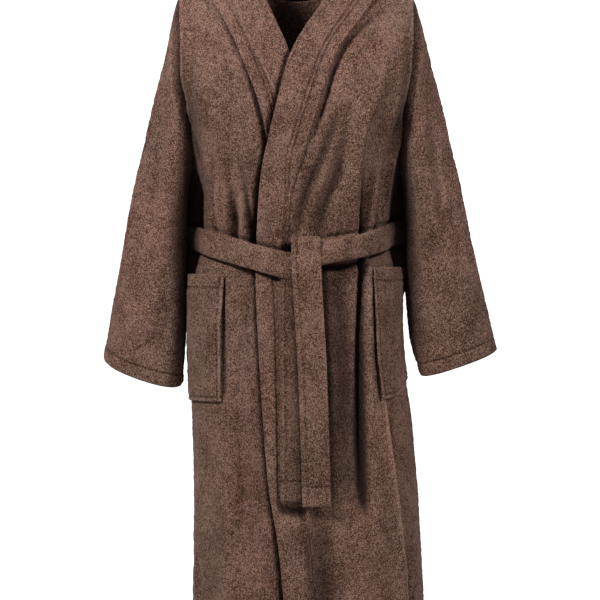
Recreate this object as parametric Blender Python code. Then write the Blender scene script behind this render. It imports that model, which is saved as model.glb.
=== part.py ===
"""Hooded terry bathrobe, belted over a crossed front, its hood lying down on the back.

The cloth keeps the form it has when worn, with nothing inside it: every piece is a thin wall.
Frame: metres, +Z up, the front faces -Y, +X is the wearer's left. The origin lies between the
shoulders, where the wearer holds the robe up.

A place on the body of the robe is a turn and a level. The turn goes round it in degrees: 0 at
the centre front, 90 at the wearer's left side, 180 at the centre back. The level goes up it:
-1 at the hem, 0 at the underarm, 1 on the shoulder seam.
"""
import bpy
import numpy as np

# Cloth: one layer of terry, a turned and doubled one, and the belt
TERRY = 0.0025
DOUBLE = 0.0042
BELT = 0.0040
SEAM = 0.0005
ARMHOLE_SEAM = 0.0011
EASE = 0.0018
EDGE_BEVEL = 0.0015

# Heights and the cut of the body
HEM_Z = -1.180
HIP_Z = -0.490
UNDERARM_Z = -0.295
NECK_Z = 0.020
NECK_HALF = 0.078
NECK_DROP = 0.046
SHOULDER_SLOPE = 0.36
SHOULDER_EASE = 0.050
SQUARE = 2.3
CROWN = 2.2
SIDE_SEAM_HIP = 108.0
SIDE_SEAM_ARM = 90.0
BAND_WIDTH = 0.047

# Each body panel is divided here, under the belt, into its bodice and its skirt
DIVIDE_Z = -0.425

# How far the top front stands off the one beneath it, and where that fades away
LAP = 0.0105
LAP_TURN = (33.0, 62.0)
LAP_Z = (-0.125, -0.050)

# Belt, pockets, cuffs
BELT_WIDTH = 0.0435
TIE_WIDTH = 0.0425
POCKET_EDGE = 100.0
POCKET_GAPE = 0.0095
CUFF_HEM = 0.965
CUFF_STEP = 0.0008

# How finely each piece is divided
UNDER_ROWS = 13
WAIST_ROWS = 8
BELT_ROWS = 4
BODICE_ROWS = 6
ARM_STEPS = 10
SLEEVE_ROWS = 12

TERRY_BROWN = (0.165, 0.105, 0.083)
BELT_BROWN = (0.150, 0.095, 0.075)


class Table:
    """Rows of measures with named columns, read between its rows along a smooth curve."""

    def __init__(self, names, rows):
        self.names = names.split()
        self.rows = np.array(rows, dtype=float)
        self.rows = self.rows[np.argsort(self.rows[:, 0])]

    def read(self, name, at):
        """A column's value at a place on the first column: a cubic that never overshoots a row."""
        place = self.rows[:, 0]
        value = self.rows[:, self.names.index(name)]
        steep = np.diff(value) / np.diff(place)
        product = steep[:-1] * steep[1:]
        total = np.where(product > 0, steep[:-1] + steep[1:], 1)
        mean = np.where(product > 0, 2 * product / total, 0)
        slope = np.concatenate([steep[:1], mean, steep[-1:]])
        at = np.clip(at, place[0], place[-1])
        low = np.clip(np.searchsorted(place, at) - 1, 0, len(place) - 2)
        gap = place[low + 1] - place[low]
        t = (at - place[low]) / gap
        start = value[low] * (1 + 2 * t) * (1 - t) ** 2 + slope[low] * gap * t * (1 - t) ** 2
        end = value[low + 1] * t ** 2 * (3 - 2 * t) - slope[low + 1] * gap * t ** 2 * (1 - t)
        return start + end


# Half extents of the body below the underarm: to the wearer's right and left, front and back
SKIRT = Table("z right left front back", [
    (-0.295, 0.164, 0.162, 0.118, 0.112),
    (-0.358, 0.149, 0.152, 0.111, 0.102),
    (-0.430, 0.151, 0.148, 0.102, 0.095),
    (-0.478, 0.163, 0.158, 0.107, 0.104),
    (-0.600, 0.172, 0.168, 0.118, 0.124),
    (-0.690, 0.170, 0.182, 0.122, 0.130),
    (-0.840, 0.167, 0.196, 0.128, 0.138),
    (-1.003, 0.168, 0.204, 0.134, 0.146),
    (-1.180, 0.172, 0.209, 0.141, 0.153)])

# The same above the underarm, by level: the ring that the armholes are cut into
YOKE = Table("level right left front back", [
    (0.00, 0.164, 0.162, 0.118, 0.112),
    (0.15, 0.178, 0.176, 0.120, 0.115),
    (0.30, 0.199, 0.197, 0.121, 0.119),
    (0.50, 0.224, 0.220, 0.120, 0.122),
    (0.75, 0.230, 0.226, 0.118, 0.124),
    (1.00, 0.234, 0.230, 0.112, 0.122)])

# Where each armhole is cut, seen from the front
ARMHOLE = Table("level right left", [
    (0.00, 0.1640, 0.1620),
    (0.07, 0.1670, 0.1645),
    (0.24, 0.1760, 0.1710),
    (0.39, 0.1835, 0.1760),
    (0.49, 0.1865, 0.1800),
    (0.70, 0.1870, 0.1840),
    (1.00, 0.1900, 0.1880)])

# The front edges, seen from the front: the wearer's left front is on top
LEFT_EDGE = Table("z x", [
    (0.0200, 0.0780), (-0.0456, 0.0411), (-0.1328, -0.0092), (-0.1764, -0.0217),
    (-0.2465, -0.0388), (-0.3321, -0.0544), (-0.4256, -0.0606), (-0.4832, -0.0622),
    (-0.6701, -0.0528), (-0.7993, -0.0427), (-0.9021, -0.0271), (-0.9862, -0.0193),
    (-1.1800, -0.0040)])
RIGHT_EDGE = Table("z x", [
    (0.0200, -0.0780), (-0.0456, -0.0473), (-0.1328, -0.0092), (-0.2200, 0.0320),
    (-0.3000, 0.0600), (-0.3800, 0.0760), (-0.4500, 0.0830), (-0.6500, 0.0850),
    (-1.1800, 0.0760)])

# Folds of the body: a line from its top to its foot, half width in degrees, height in metres
FOLDS = [
    # gathers over the belt, the wearer's right front
    (-66, -0.090, -62, -0.230, 5.0, -0.0050),
    (-57, -0.290, -58, -0.412, 3.2, 0.0050),
    (-50, -0.300, -51, -0.414, 3.0, -0.0045),
    (-43, -0.280, -44, -0.418, 3.2, 0.0050),
    (-36, -0.330, -38, -0.430, 3.4, -0.0070),
    (-27, -0.270, -29, -0.430, 4.0, 0.0055),
    # the wearer's left front: folds that fan out of the waist
    (16, -0.190, 10, -0.390, 4.5, 0.0055),
    (24, -0.170, 20, -0.400, 4.5, -0.0050),
    (33, -0.190, 32, -0.410, 4.5, 0.0070),
    (43, -0.300, 40, -0.428, 3.4, -0.0080),
    (50, -0.170, 48, -0.415, 4.0, 0.0060),
    (60, -0.180, 58, -0.415, 4.0, -0.0050),
    (70, -0.200, 68, -0.410, 4.0, 0.0050),
    # the skirt's deep pleat, the cloth that rounds in front of it, and the ridge at the side
    (36, -0.452, 30, -0.900, 3.6, -0.0160),
    (25, -0.470, 21, -1.000, 7.0, 0.0090),
    (44, -0.640, 61, -1.400, 3.6, 0.0080),
    (53, -0.660, 70, -1.400, 5.0, -0.0050),
    (2, -0.480, 3, -0.900, 6.0, -0.0050),
    (-13, -0.550, -9, -1.400, 5.0, 0.0040),
    (-30, -0.480, -27, -0.980, 4.5, -0.0060),
    (-38, -0.700, -34, -1.400, 7.0, 0.0050),
    (-56, -0.700, -53, -1.400, 7.0, -0.0040),
    (-68, -0.860, -64, -1.400, 4.0, -0.0060),
    (-60, -0.440, -58, -0.700, 4.0, -0.0040),
    (10, -0.950, 14, -1.500, 7.0, -0.0050),
    (38, -0.900, 44, -1.500, 6.0, -0.0060),
    # the back: gathers over the belt and flutes under it
    (214, -0.250, 212, -0.378, 5.0, 0.0060),
    (200, -0.270, 202, -0.378, 4.5, -0.0060),
    (188, -0.260, 190, -0.378, 4.5, 0.0050),
    (174, -0.270, 172, -0.378, 4.5, -0.0055),
    (161, -0.250, 160, -0.378, 5.0, 0.0060),
    (146, -0.260, 148, -0.378, 4.5, -0.0050),
    (132, -0.240, 134, -0.380, 5.0, 0.0050),
    (228, -0.240, 226, -0.380, 5.0, -0.0050),
    (243, -0.220, 238, -0.380, 5.0, 0.0050),
    (130, -0.440, 126, -1.400, 7.0, -0.0080),
    (147, -0.430, 145, -1.500, 7.0, 0.0090),
    (163, -0.440, 165, -1.500, 6.0, -0.0100),
    (181, -0.430, 184, -1.500, 8.0, 0.0090),
    (199, -0.440, 204, -1.500, 6.0, -0.0110),
    (216, -0.430, 221, -1.500, 7.5, 0.0090),
    (233, -0.450, 238, -1.500, 6.0, -0.0080)]

# The back's fullness, which spills out at each side of the waist, under the belt too
SIDE_SPILLS = [
    (104, -0.280, 107, -0.505, 15.0, 0.0240),
    (256, -0.280, 253, -0.505, 15.0, 0.0230)]

# Each sleeve: its outer and inner outline from the front, and half its depth, from armhole to cuff
RIGHT_SLEEVE = Table("along outer_x outer_z inner_x inner_z depth y dip", [
    (0.00, 0.1950, -0.030, 0.1680, -0.300, 0.066, 0.000, 0.000),
    (0.08, 0.2000, -0.062, 0.1710, -0.325, 0.066, 0.000, 0.000),
    (0.20, 0.2100, -0.125, 0.1755, -0.360, 0.064, 0.000, 0.000),
    (0.40, 0.2385, -0.240, 0.1775, -0.430, 0.060, 0.000, 0.000),
    (0.60, 0.2670, -0.365, 0.1780, -0.505, 0.055, -0.002, 0.003),
    (0.80, 0.2890, -0.488, 0.1795, -0.580, 0.050, -0.004, 0.009),
    (1.00, 0.3100, -0.611, 0.1840, -0.653, 0.046, -0.006, 0.015)])
LEFT_SLEEVE = Table("along outer_x outer_z inner_x inner_z depth y dip", [
    (0.00, 0.1910, -0.030, 0.1660, -0.300, 0.066, 0.000, 0.000),
    (0.08, 0.1990, -0.065, 0.1690, -0.325, 0.066, 0.000, 0.000),
    (0.20, 0.2095, -0.125, 0.1735, -0.360, 0.064, 0.000, 0.000),
    (0.40, 0.2370, -0.237, 0.1755, -0.430, 0.060, 0.000, 0.000),
    (0.60, 0.2660, -0.358, 0.1770, -0.505, 0.055, -0.002, 0.001),
    (0.80, 0.2930, -0.478, 0.1810, -0.575, 0.050, -0.004, 0.003),
    (1.00, 0.3200, -0.599, 0.1990, -0.640, 0.046, -0.006, 0.006)])

# Folds of a sleeve: degrees round it (0 outside, 90 front), start and end along it, width, height
SLEEVE_FOLDS = [
    (103, 0.16, 96, 0.62, 16.0, 0.0060),
    (140, 0.22, 132, 0.70, 16.0, -0.0060),
    (62, 0.26, 74, 0.60, 14.0, -0.0045),
    (24, 0.10, 30, 0.86, 16.0, 0.0020),
    (82, 0.58, 60, 0.96, 16.0, 0.0045),
    (118, 0.66, 104, 0.95, 14.0, -0.0045),
    (228, 0.18, 236, 0.72, 18.0, -0.0065),
    (262, 0.20, 268, 0.86, 18.0, 0.0060),
    (300, 0.30, 292, 0.80, 16.0, -0.0050),
    (204, 0.30, 210, 0.90, 14.0, 0.0040)]

# The hood and collar: where it is sewn on and how far it reaches, as a width and an angle over
# the shoulder (back 90 at the underarm's height, 0 on the shoulder, front -90), from the centre
# back (0) over the shoulder (0.38 at the neck) to its end on the chest (1)
LEFT_HOOD = Table("along seam_x seam_bow edge_x edge_bow", [
    (0.00, 0.0000, 36.6, 0.0000, 89.0),
    (0.10, 0.0330, 34.2, 0.0620, 87.0),
    (0.20, 0.0580, 28.0, 0.1050, 77.0),
    (0.30, 0.0740, 16.0, 0.1340, 53.0),
    (0.38, 0.0780, 0.0, 0.1460, 26.0),
    (0.46, 0.0710, -14.0, 0.1440, -3.0),
    (0.54, 0.0570, -29.0, 0.1300, -28.0),
    (0.62, 0.0411, -42.7, 0.1010, -46.5),
    (0.75, -0.0080, -62.9, 0.0620, -62.0),
    (0.90, -0.0310, -77.5, 0.0340, -77.5),
    (1.00, -0.0440, -88.0, 0.0158, -88.0)])
RIGHT_HOOD = Table("along seam_x seam_bow edge_x edge_bow", [
    (0.00, 0.0000, 36.6, 0.0000, 89.0),
    (0.10, 0.0330, 34.2, 0.0620, 87.0),
    (0.20, 0.0580, 28.0, 0.1050, 77.0),
    (0.30, 0.0740, 16.0, 0.1360, 53.0),
    (0.38, 0.0780, 0.0, 0.1510, 26.0),
    (0.46, 0.0720, -14.0, 0.1520, -3.0),
    (0.54, 0.0600, -29.0, 0.1440, -27.0),
    (0.62, 0.0473, -42.7, 0.1200, -43.0),
    (0.75, 0.0080, -63.5, 0.0860, -62.5),
    (0.90, -0.0290, -77.5, 0.0580, -77.5),
    (1.00, -0.0480, -88.0, 0.0440, -86.5)])

# How the hood stands at the neck, rolls over and lies, by the same place along it; and its brim:
# how far it turns up, in degrees, round which radius, and how deep it is
HOOD_FORM = Table("along base stand roll upright lay bend radius brim", [
    (0.00, 0.0009, 0.078, 0.0135, 0.80, 0.0060, 172, 0.0125, 0.205),
    (0.10, 0.0009, 0.074, 0.0135, 0.80, 0.0060, 172, 0.0125, 0.190),
    (0.20, 0.0009, 0.060, 0.0130, 0.75, 0.0062, 171, 0.0110, 0.125),
    (0.30, 0.0012, 0.041, 0.0120, 0.60, 0.0070, 169, 0.0085, 0.048),
    (0.38, 0.0012, 0.031, 0.0110, 0.45, 0.0078, 152, 0.0065, 0.018),
    (0.46, 0.0012, 0.026, 0.0100, 0.35, 0.0076, 62, 0.0050, 0.012),
    (0.54, 0.0024, 0.020, 0.0080, 0.22, 0.0066, 12, 0.0050, 0.012),
    (0.62, 0.0038, 0.012, 0.0055, 0.10, 0.0056, 0, 0.0050, 0.012),
    (0.75, 0.0042, 0.005, 0.0025, 0.00, 0.0048, 0, 0.0050, 0.012),
    (1.00, 0.0044, 0.0045, 0.0010, 0.00, 0.0046, 0, 0.0050, 0.012)])
HOOD_STATIONS = 28
HOOD_ACROSS = 11
BRIM_ACROSS = 7

# The band that edges the top front below the collar: its top, and its face over the front's
BAND_TOP_Z = -0.2822
BAND_TOP_WIDTH = 0.0598
BAND_EVEN_Z = -0.3700
BAND_OUT = 0.0042

# The belt's course from its lower end at the knot, right round: height and distance out
BELT_COURSE = Table("turn z out", [
    (8, -0.4735, 0.0246), (-2, -0.4690, 0.0246), (-13, -0.4600, 0.0238),
    (-26, -0.4490, 0.0165), (-40, -0.4400, 0.0095), (-60, -0.4310, 0.0066),
    (-90, -0.4214, 0.0062), (-180, -0.4080, 0.0066), (-270, -0.4110, 0.0064),
    (-300, -0.4230, 0.0085), (-320, -0.4326, 0.0180), (-345, -0.4455, 0.0285),
    (-360, -0.4560, 0.0290)])

# The two tie ends from knot to tip: middle, and the distance out of the outer face
FRONT_TIE = Table("z x out", [
    (-0.4265, 0.0125, 0.0348), (-0.480, 0.0142, 0.0348), (-0.540, 0.0175, 0.0305),
    (-0.620, 0.0222, 0.0268), (-0.720, 0.0260, 0.0250), (-0.839, 0.0295, 0.0248)])
BACK_TIE = Table("z x out", [
    (-0.4720, -0.0030, 0.0194), (-0.550, -0.0045, 0.0196), (-0.700, -0.0035, 0.0198),
    (-0.831, -0.0030, 0.0198)])
TIE_LOOP_Z = -0.4285
TIE_TUCK_Z = -0.4640

# Pockets: inner edge in degrees, height of the mouth and of the foot, and how far the foot rises
# by the outer edge, round the side
POCKETS = {
    "pocket_left": (1, 43.2, -0.4690, -0.6750, 0.055),
    "pocket_right": (-1, 40.5, -0.4790, -0.6790, 0.000)}
POCKET_SWEEP = 1.8


def ease_step(low, high, at):
    """0 up to the low value, 1 from the high one, and a smooth S between them."""
    t = np.clip((at - low) / (high - low), 0, 1)
    return t * t * (3 - 2 * t)


def shoulder_z(x):
    """Height of the shoulder line: a hyperbola, level at the neck, falling to each armhole."""
    run = np.hypot(x, SHOULDER_EASE) - np.hypot(NECK_HALF, SHOULDER_EASE)
    return NECK_Z - SHOULDER_SLOPE * run


def level_at(x, z):
    """Level of a place known by its width and height."""
    above = (z - UNDERARM_Z) / (shoulder_z(x) - UNDERARM_Z)
    below = (z - UNDERARM_Z) / (UNDERARM_Z - HEM_Z)
    return np.where(z > UNDERARM_Z, np.minimum(above, 1), below)


def extent(name, level):
    """One half extent of the ring at a level."""
    z = UNDERARM_Z + np.minimum(level, 0) * (UNDERARM_Z - HEM_Z)
    return np.where(level > 0, YOKE.read(name, level), SKIRT.read(name, z))


def turn_at(x, level):
    """Turn, on the front half, of a place known by its width and level."""
    reach = np.where(x > 0, extent("left", level), extent("right", level))
    share = np.clip(np.abs(x) / reach, 0, 1)
    return np.sign(x) * np.degrees(np.arcsin(share ** (SQUARE / 2)))


def skin(turn, level):
    """Smooth outer face: squared ovals that close over the shoulders along a rounded crown."""
    across = np.sin(np.radians(turn))
    along = np.cos(np.radians(turn))
    across = np.sign(across) * np.abs(across) ** (2 / SQUARE)
    along = np.sign(along) * np.abs(along) ** (2 / SQUARE)
    x = across * np.where(across > 0, extent("left", level), extent("right", level))
    closing = (1 - np.clip(level, 0, 1) ** CROWN) ** (1 / CROWN)
    y = -along * closing * np.where(along > 0, extent("front", level), extent("back", level))
    low_z = UNDERARM_Z + level * (UNDERARM_Z - HEM_Z)
    high_z = UNDERARM_Z + level * (shoulder_z(x) - UNDERARM_Z)
    return np.stack([x, y, np.where(level > 0, high_z, low_z)], axis=-1)


def unit(vectors):
    """Vectors brought to length one."""
    return vectors / np.maximum(np.linalg.norm(vectors, axis=-1, keepdims=True), 1e-12)


def outward(turn, level):
    """Direction out of the smooth outer face: across its turn and its level."""
    side = skin(turn + 0.5, level) - skin(turn - 0.5, level)
    rise = skin(turn, np.minimum(level + 0.004, 1)) - skin(turn, level - 0.004)
    return unit(np.cross(side, rise))


def fold_height(turn, z, folds=FOLDS + SIDE_SPILLS):
    """How far folds raise or sink the cloth: bell-shaped across each fold, fading at its ends."""
    total = np.zeros(np.broadcast(turn, z).shape)
    for top_turn, top_z, foot_turn, foot_z, width, height in folds:
        down = (top_z - z) / (top_z - foot_z)
        middle = top_turn + (foot_turn - top_turn) * np.clip(down, 0, 1)
        away = ((turn - middle + 180) % 360 - 180) / width
        ends = ease_step(0, 0.3, down) * ease_step(0, 0.3, 1 - down)
        total = total + height * np.exp(-away ** 2) * ends
    return total


def lap_out(turn, z):
    """How far the top front stands out over the one beneath it."""
    return LAP * (1 - ease_step(*LAP_TURN, turn)) * (1 - ease_step(*LAP_Z, z))


def on_robe(turn, level, out=0.0):
    """A place on the folded cloth, moved out by a distance."""
    base = skin(turn, level)
    rise = out + fold_height(turn, base[..., 2])
    return base + outward(turn, level) * np.asarray(rise)[..., None]


def pull_in(inner, distance):
    """Bring an inner face's edges in a little, so that walls that meet at a seam stay apart."""
    for first, second in ((0, 1), (-1, -2)):
        inner[first] += unit(inner[second] - inner[first]) * distance
        inner[:, first] += unit(inner[:, second] - inner[:, first]) * distance
    return inner


def add_wall(name, outer, inner, colour, tube=False):
    """Closed wall between two grids of points, as one object with its own material."""
    rows, columns = outer.shape[:2]
    points = np.concatenate([outer.reshape(-1, 3), inner.reshape(-1, 3)])
    index = np.arange(rows * columns).reshape(rows, columns)
    ring = np.append(index, index[:, :1], axis=1) if tube else index
    inside = ring + rows * columns
    faces = []
    for grid, step in ((ring, 1), (inside, -1)):
        quads = np.stack([grid[:-1, :-1], grid[:-1, 1:], grid[1:, 1:], grid[1:, :-1]], axis=-1)
        faces.append(quads.reshape(-1, 4)[:, ::step])
    for line, back, step in ((ring[0], inside[0], -1), (ring[-1], inside[-1], 1)):
        faces.append(np.stack([line[:-1], line[1:], back[1:], back[:-1]], axis=-1)[:, ::step])
    if not tube:
        for line, back, step in ((ring[:, 0], inside[:, 0], 1), (ring[:, -1], inside[:, -1], -1)):
            faces.append(np.stack([line[:-1], line[1:], back[1:], back[:-1]], axis=-1)[:, ::step])
    quads = np.concatenate(faces)
    corners = points[quads]
    volume = np.einsum("ij,ij->i", corners[:, 0], np.cross(corners[:, 1], corners[:, 2])).sum()
    volume += np.einsum("ij,ij->i", corners[:, 0], np.cross(corners[:, 2], corners[:, 3])).sum()
    if volume < 0:
        quads = quads[:, ::-1]
    mesh = bpy.data.meshes.new(name)
    mesh.from_pydata(points.tolist(), [], quads.tolist())
    mesh.shade_smooth()
    mesh.set_sharp_from_angle(angle=np.radians(50))
    piece = bpy.data.objects.new(name, mesh)
    bpy.context.collection.objects.link(piece)
    mesh.materials.append(terry_material(name, colour))
    return piece


def terry_material(name, colour):
    """Matt cotton terry with a little fuzz."""
    material = bpy.data.materials.new(name)
    material.use_nodes = True
    shader = material.node_tree.nodes["Principled BSDF"]
    shader.inputs["Base Color"].default_value = (*colour, 1)
    shader.inputs["Roughness"].default_value = 0.95
    shader.inputs["Metallic"].default_value = 0
    return material


def body_levels(part):
    """The levels of a skirt's rows, or of a bodice's, spaced over the armhole as a sleeve's are."""
    if part == "skirt":
        z = np.append(np.linspace(HEM_Z, HIP_Z, UNDER_ROWS)[:-1],
                      np.linspace(HIP_Z, DIVIDE_Z - SEAM / 2, BELT_ROWS))
        return (z - UNDERARM_Z) / (UNDERARM_Z - HEM_Z)
    z = np.linspace(DIVIDE_Z + SEAM / 2, UNDERARM_Z, BODICE_ROWS)[:-1]
    low = (z - UNDERARM_Z) / (UNDERARM_Z - HEM_Z)
    return np.append(low, (1 - np.cos(np.linspace(0, np.pi, ARM_STEPS + 1))) / 2)


def side_turn(side, level):
    """Turn of the side seam below the underarm, and of the armhole's front edge above it."""
    z = UNDERARM_Z + level * (UNDERARM_Z - HEM_Z)
    drift = 1 - ease_step(HIP_Z, UNDERARM_Z, z)
    seam = SIDE_SEAM_ARM + (SIDE_SEAM_HIP - SIDE_SEAM_ARM) * drift
    name = "left" if side > 0 else "right"
    cut = np.abs(turn_at(side * ARMHOLE.read(name, level), level))
    return np.where(level > 0, cut, seam)


def edge_turn(edge, level):
    """Turn of a front edge at a level: its width and height are found together."""
    x = np.zeros_like(level)
    for _ in range(30):
        z = skin(turn_at(x, level), level)[..., 2]
        x = edge.read("x", z)
    return turn_at(x, level)


def shoulder_gap(part, points, side):
    """Half the seam's gap between front and back along the shoulder seam of a bodice."""
    if part == "bodice":
        points[-1, :, 1] += side * SEAM / 2
    return points


def front(name, part, side, edge, columns, out):
    """Part of a front: from its free edge round to the side seam, up to the shoulder seam."""
    level = body_levels(part)[:, None]
    share = np.linspace(0, 1, columns)[None, :]
    start = edge_turn(edge, level)
    gap = np.degrees(SEAM / 2 / extent("front", level))
    turn = start + (side * (side_turn(side, level) - gap) - start) * share
    level = level + 0 * share
    base = skin(turn, level)
    from_edge = np.abs(base[..., 0] - base[:, :1, 0])
    double = 1 - ease_step(BAND_WIDTH * 0.95, BAND_WIDTH * 1.35, from_edge)
    lift = out(turn, base[..., 2])
    outer = shoulder_gap(part, on_robe(turn, level, lift), -1)
    thick = TERRY + (DOUBLE - TERRY) * double
    inner = outer - outward(turn, level) * thick[..., None]
    return add_wall(f"{name}_{part}", outer, pull_in(inner, EDGE_BEVEL), TERRY_BROWN)


def neck_level(x):
    """Level of the back's top edge: the neck's oval dip between the shoulder seams."""
    dip = NECK_DROP * np.sqrt(np.clip(1 - (x / NECK_HALF) ** 2, 0, 1))
    return np.where(np.abs(x) < NECK_HALF * 0.9999, level_at(x, NECK_Z - dip), 1.0)


def back(part):
    """Part of the back: between the side seams and armholes, hollowed at the neck."""
    level = body_levels(part)[:, None]
    top = np.ones(1)
    halves = []
    for side in (-1, 1):
        name = "left" if side > 0 else "right"
        neck = np.abs(turn_at(side * NECK_HALF, top)) / side_turn(side, top)
        halves.append(side * np.append(np.linspace(0, neck[0], 5), np.linspace(neck[0], 1, 9)[1:]))
    share = np.append(halves[0][:0:-1], halves[1])[None, :]

    def turn_of(level):
        """Turn of each column: its share of the way from the centre back to the side."""
        reach = np.where(share > 0, back_reach(1, level), back_reach(-1, level))
        return 180 - share * reach

    rim = np.ones_like(share)
    for _ in range(30):
        rim = neck_level(skin(turn_of(rim), rim)[..., 0])
    level = np.where(level > 0, level * rim, level + 0 * share)
    turn = turn_of(level)
    outer = shoulder_gap(part, on_robe(turn, level), 1)
    inner = outer - outward(turn, level) * TERRY
    return add_wall(f"back_{part}", outer, pull_in(inner, EDGE_BEVEL), TERRY_BROWN)


def back_reach(side, level):
    """Degrees from the centre back to the side seam, or to the armhole's back edge above it."""
    gap = np.degrees(SEAM / 2 / extent("back", level))
    seam = side_turn(side, level)
    return np.where(level > 0, seam, 180 - seam) - gap


def armhole_ring(side, angle):
    """The armhole's edge on the body, by degrees round the sleeve: 0 on top, 90 in front."""
    level = (1 + np.cos(np.radians(angle))) / 2
    cut = side_turn(side, np.maximum(level, 1e-9))
    turn = np.where(np.sin(np.radians(angle)) >= 0, side * cut, 180 - side * cut)
    return on_robe(turn, level) + np.array([side * ARMHOLE_SEAM, 0, 0])


def sleeve_skin(side, table, angle, along):
    """Smooth sleeve: ovals between its two outlines, grown out of the armhole's edge."""
    across = np.cos(np.radians(angle))
    depth = np.sin(np.radians(angle))
    across = np.sign(across) * np.abs(across) ** (2 / SQUARE)
    depth = np.sign(depth) * np.abs(depth) ** (2 / SQUARE)
    outer_x = table.read("outer_x", along)
    inner_x = table.read("inner_x", along)
    outer_z = table.read("outer_z", along)
    inner_z = table.read("inner_z", along)
    x = side * ((outer_x + inner_x) / 2 + (outer_x - inner_x) / 2 * across)
    z = (outer_z + inner_z) / 2 + (outer_z - inner_z) / 2 * across
    z = z - table.read("dip", along) * depth
    y = table.read("y", along) - table.read("depth", along) * depth
    ring = np.stack([x, y, z], axis=-1)
    grown = ease_step(0, 0.2, along)[..., None]
    return armhole_ring(side, angle) * (1 - grown) + ring * grown


def sleeve(name, side, table):
    """One sleeve: a tube from armhole to cuff, its hem turned up."""
    angle = np.linspace(0, 360, 2 * ARM_STEPS, endpoint=False)[None, :]
    along = np.linspace(0, 1, SLEEVE_ROWS)[:-1]
    along = np.append(along, [CUFF_HEM - 0.004, CUFF_HEM + 0.004, 1.0])
    along = np.sort(along)[:, None]
    angle = angle + 0 * along
    along = along + 0 * angle
    base = sleeve_skin(side, table, angle, along)
    around = sleeve_skin(side, table, angle + 1, along) - sleeve_skin(side, table, angle - 1, along)
    ahead = sleeve_skin(side, table, angle, np.minimum(along + 0.01, 1))
    down = ahead - sleeve_skin(side, table, angle, np.maximum(along - 0.01, 0))
    out = unit(np.cross(around, down)) * side
    hem = ease_step(CUFF_HEM - 0.004, CUFF_HEM + 0.004, along)
    rise = CUFF_STEP * hem
    for start_angle, start, end_angle, end, width, height in SLEEVE_FOLDS:
        t = (along - start) / (end - start)
        middle = start_angle + (end_angle - start_angle) * np.clip(t, 0, 1)
        away = ((angle - middle + 180) % 360 - 180) / width
        rise = rise + height * np.exp(-away ** 2) * ease_step(0, 0.3, t) * ease_step(0, 0.3, 1 - t)
    outer = base + out * rise[..., None]
    thick = TERRY + (DOUBLE - TERRY) * hem
    inner = outer - out * thick[..., None]
    inner[0] += unit(inner[1] - inner[0]) * 2 * EDGE_BEVEL
    inner[0, :, 0] += side * ARMHOLE_SEAM
    return add_wall(name, outer, inner, TERRY_BROWN, tube=True)


def shoulder_place(x, bow):
    """Turn and level of a place by its width and its angle over the shoulder, front below 0."""
    rise = np.cos(np.radians(bow))
    depth = (shoulder_z(x) - UNDERARM_Z) / (UNDERARM_Z - HEM_Z)
    level = np.where(rise > 0, np.abs(rise) ** (2 / CROWN), rise * depth)
    turn = turn_at(x, level)
    return np.where(bow > 0, 180 - turn, turn), level


def soften(points, rounds=4):
    """Round a row of control points off by cutting its corners, keeping both ends."""
    for _ in range(rounds):
        cut = np.empty((2 * len(points), 2))
        cut[0] = points[0]
        cut[1:-1:2] = points[:-1] * 0.75 + points[1:] * 0.25
        cut[2::2] = points[:-1] * 0.25 + points[1:] * 0.75
        cut[-1] = points[-1]
        points = cut
    return points


def spaced(points, count):
    """A number of places spaced evenly along a row of points."""
    run = np.append(0, np.cumsum(np.linalg.norm(np.diff(points, axis=0), axis=1)))
    even = np.linspace(0, run[-1], count)
    return np.stack([np.interp(even, run, points[:, 0]), np.interp(even, run, points[:, 1])], axis=-1)


def hood_profile(form, length):
    """The hood's section, as distance out from the neck and height off the robe.

    It stands up, rolls over and lies down, then its brim goes on round an arc and out straight.
    """
    base, stand, roll, lay = form["base"], form["stand"], form["roll"], form["lay"]
    bend, radius, brim = np.radians(form["bend"]), form["radius"], form["brim"]
    reach = radius * np.sin(min(bend, np.pi / 2)) + brim * max(np.cos(bend), 0)
    hinge = length - reach
    lying = soften(np.array([
        (0, base),
        (-0.10 * (stand - base), base + 0.5 * (stand - base)),
        (0, stand),
        (roll, stand + 0.5 * roll),
        (2.2 * roll, 0.8 * stand + 0.2 * lay),
        (2.4 * roll + 0.5 * stand, lay + 0.15 * stand),
        (0.45 * length + roll + 0.2 * stand, lay),
        (hinge, lay)]))
    around = np.linspace(0, bend, 9)
    arc = np.stack([hinge + radius * np.sin(around), lay + radius * (1 - np.cos(around))], axis=-1)
    tip = arc[-1] + brim * np.array([np.cos(bend), np.sin(bend)])
    turned = spaced(np.append(arc, [tip], axis=0), BRIM_ACROSS)
    return np.append(spaced(lying, HOOD_ACROSS), turned[1:], axis=0).T


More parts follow.
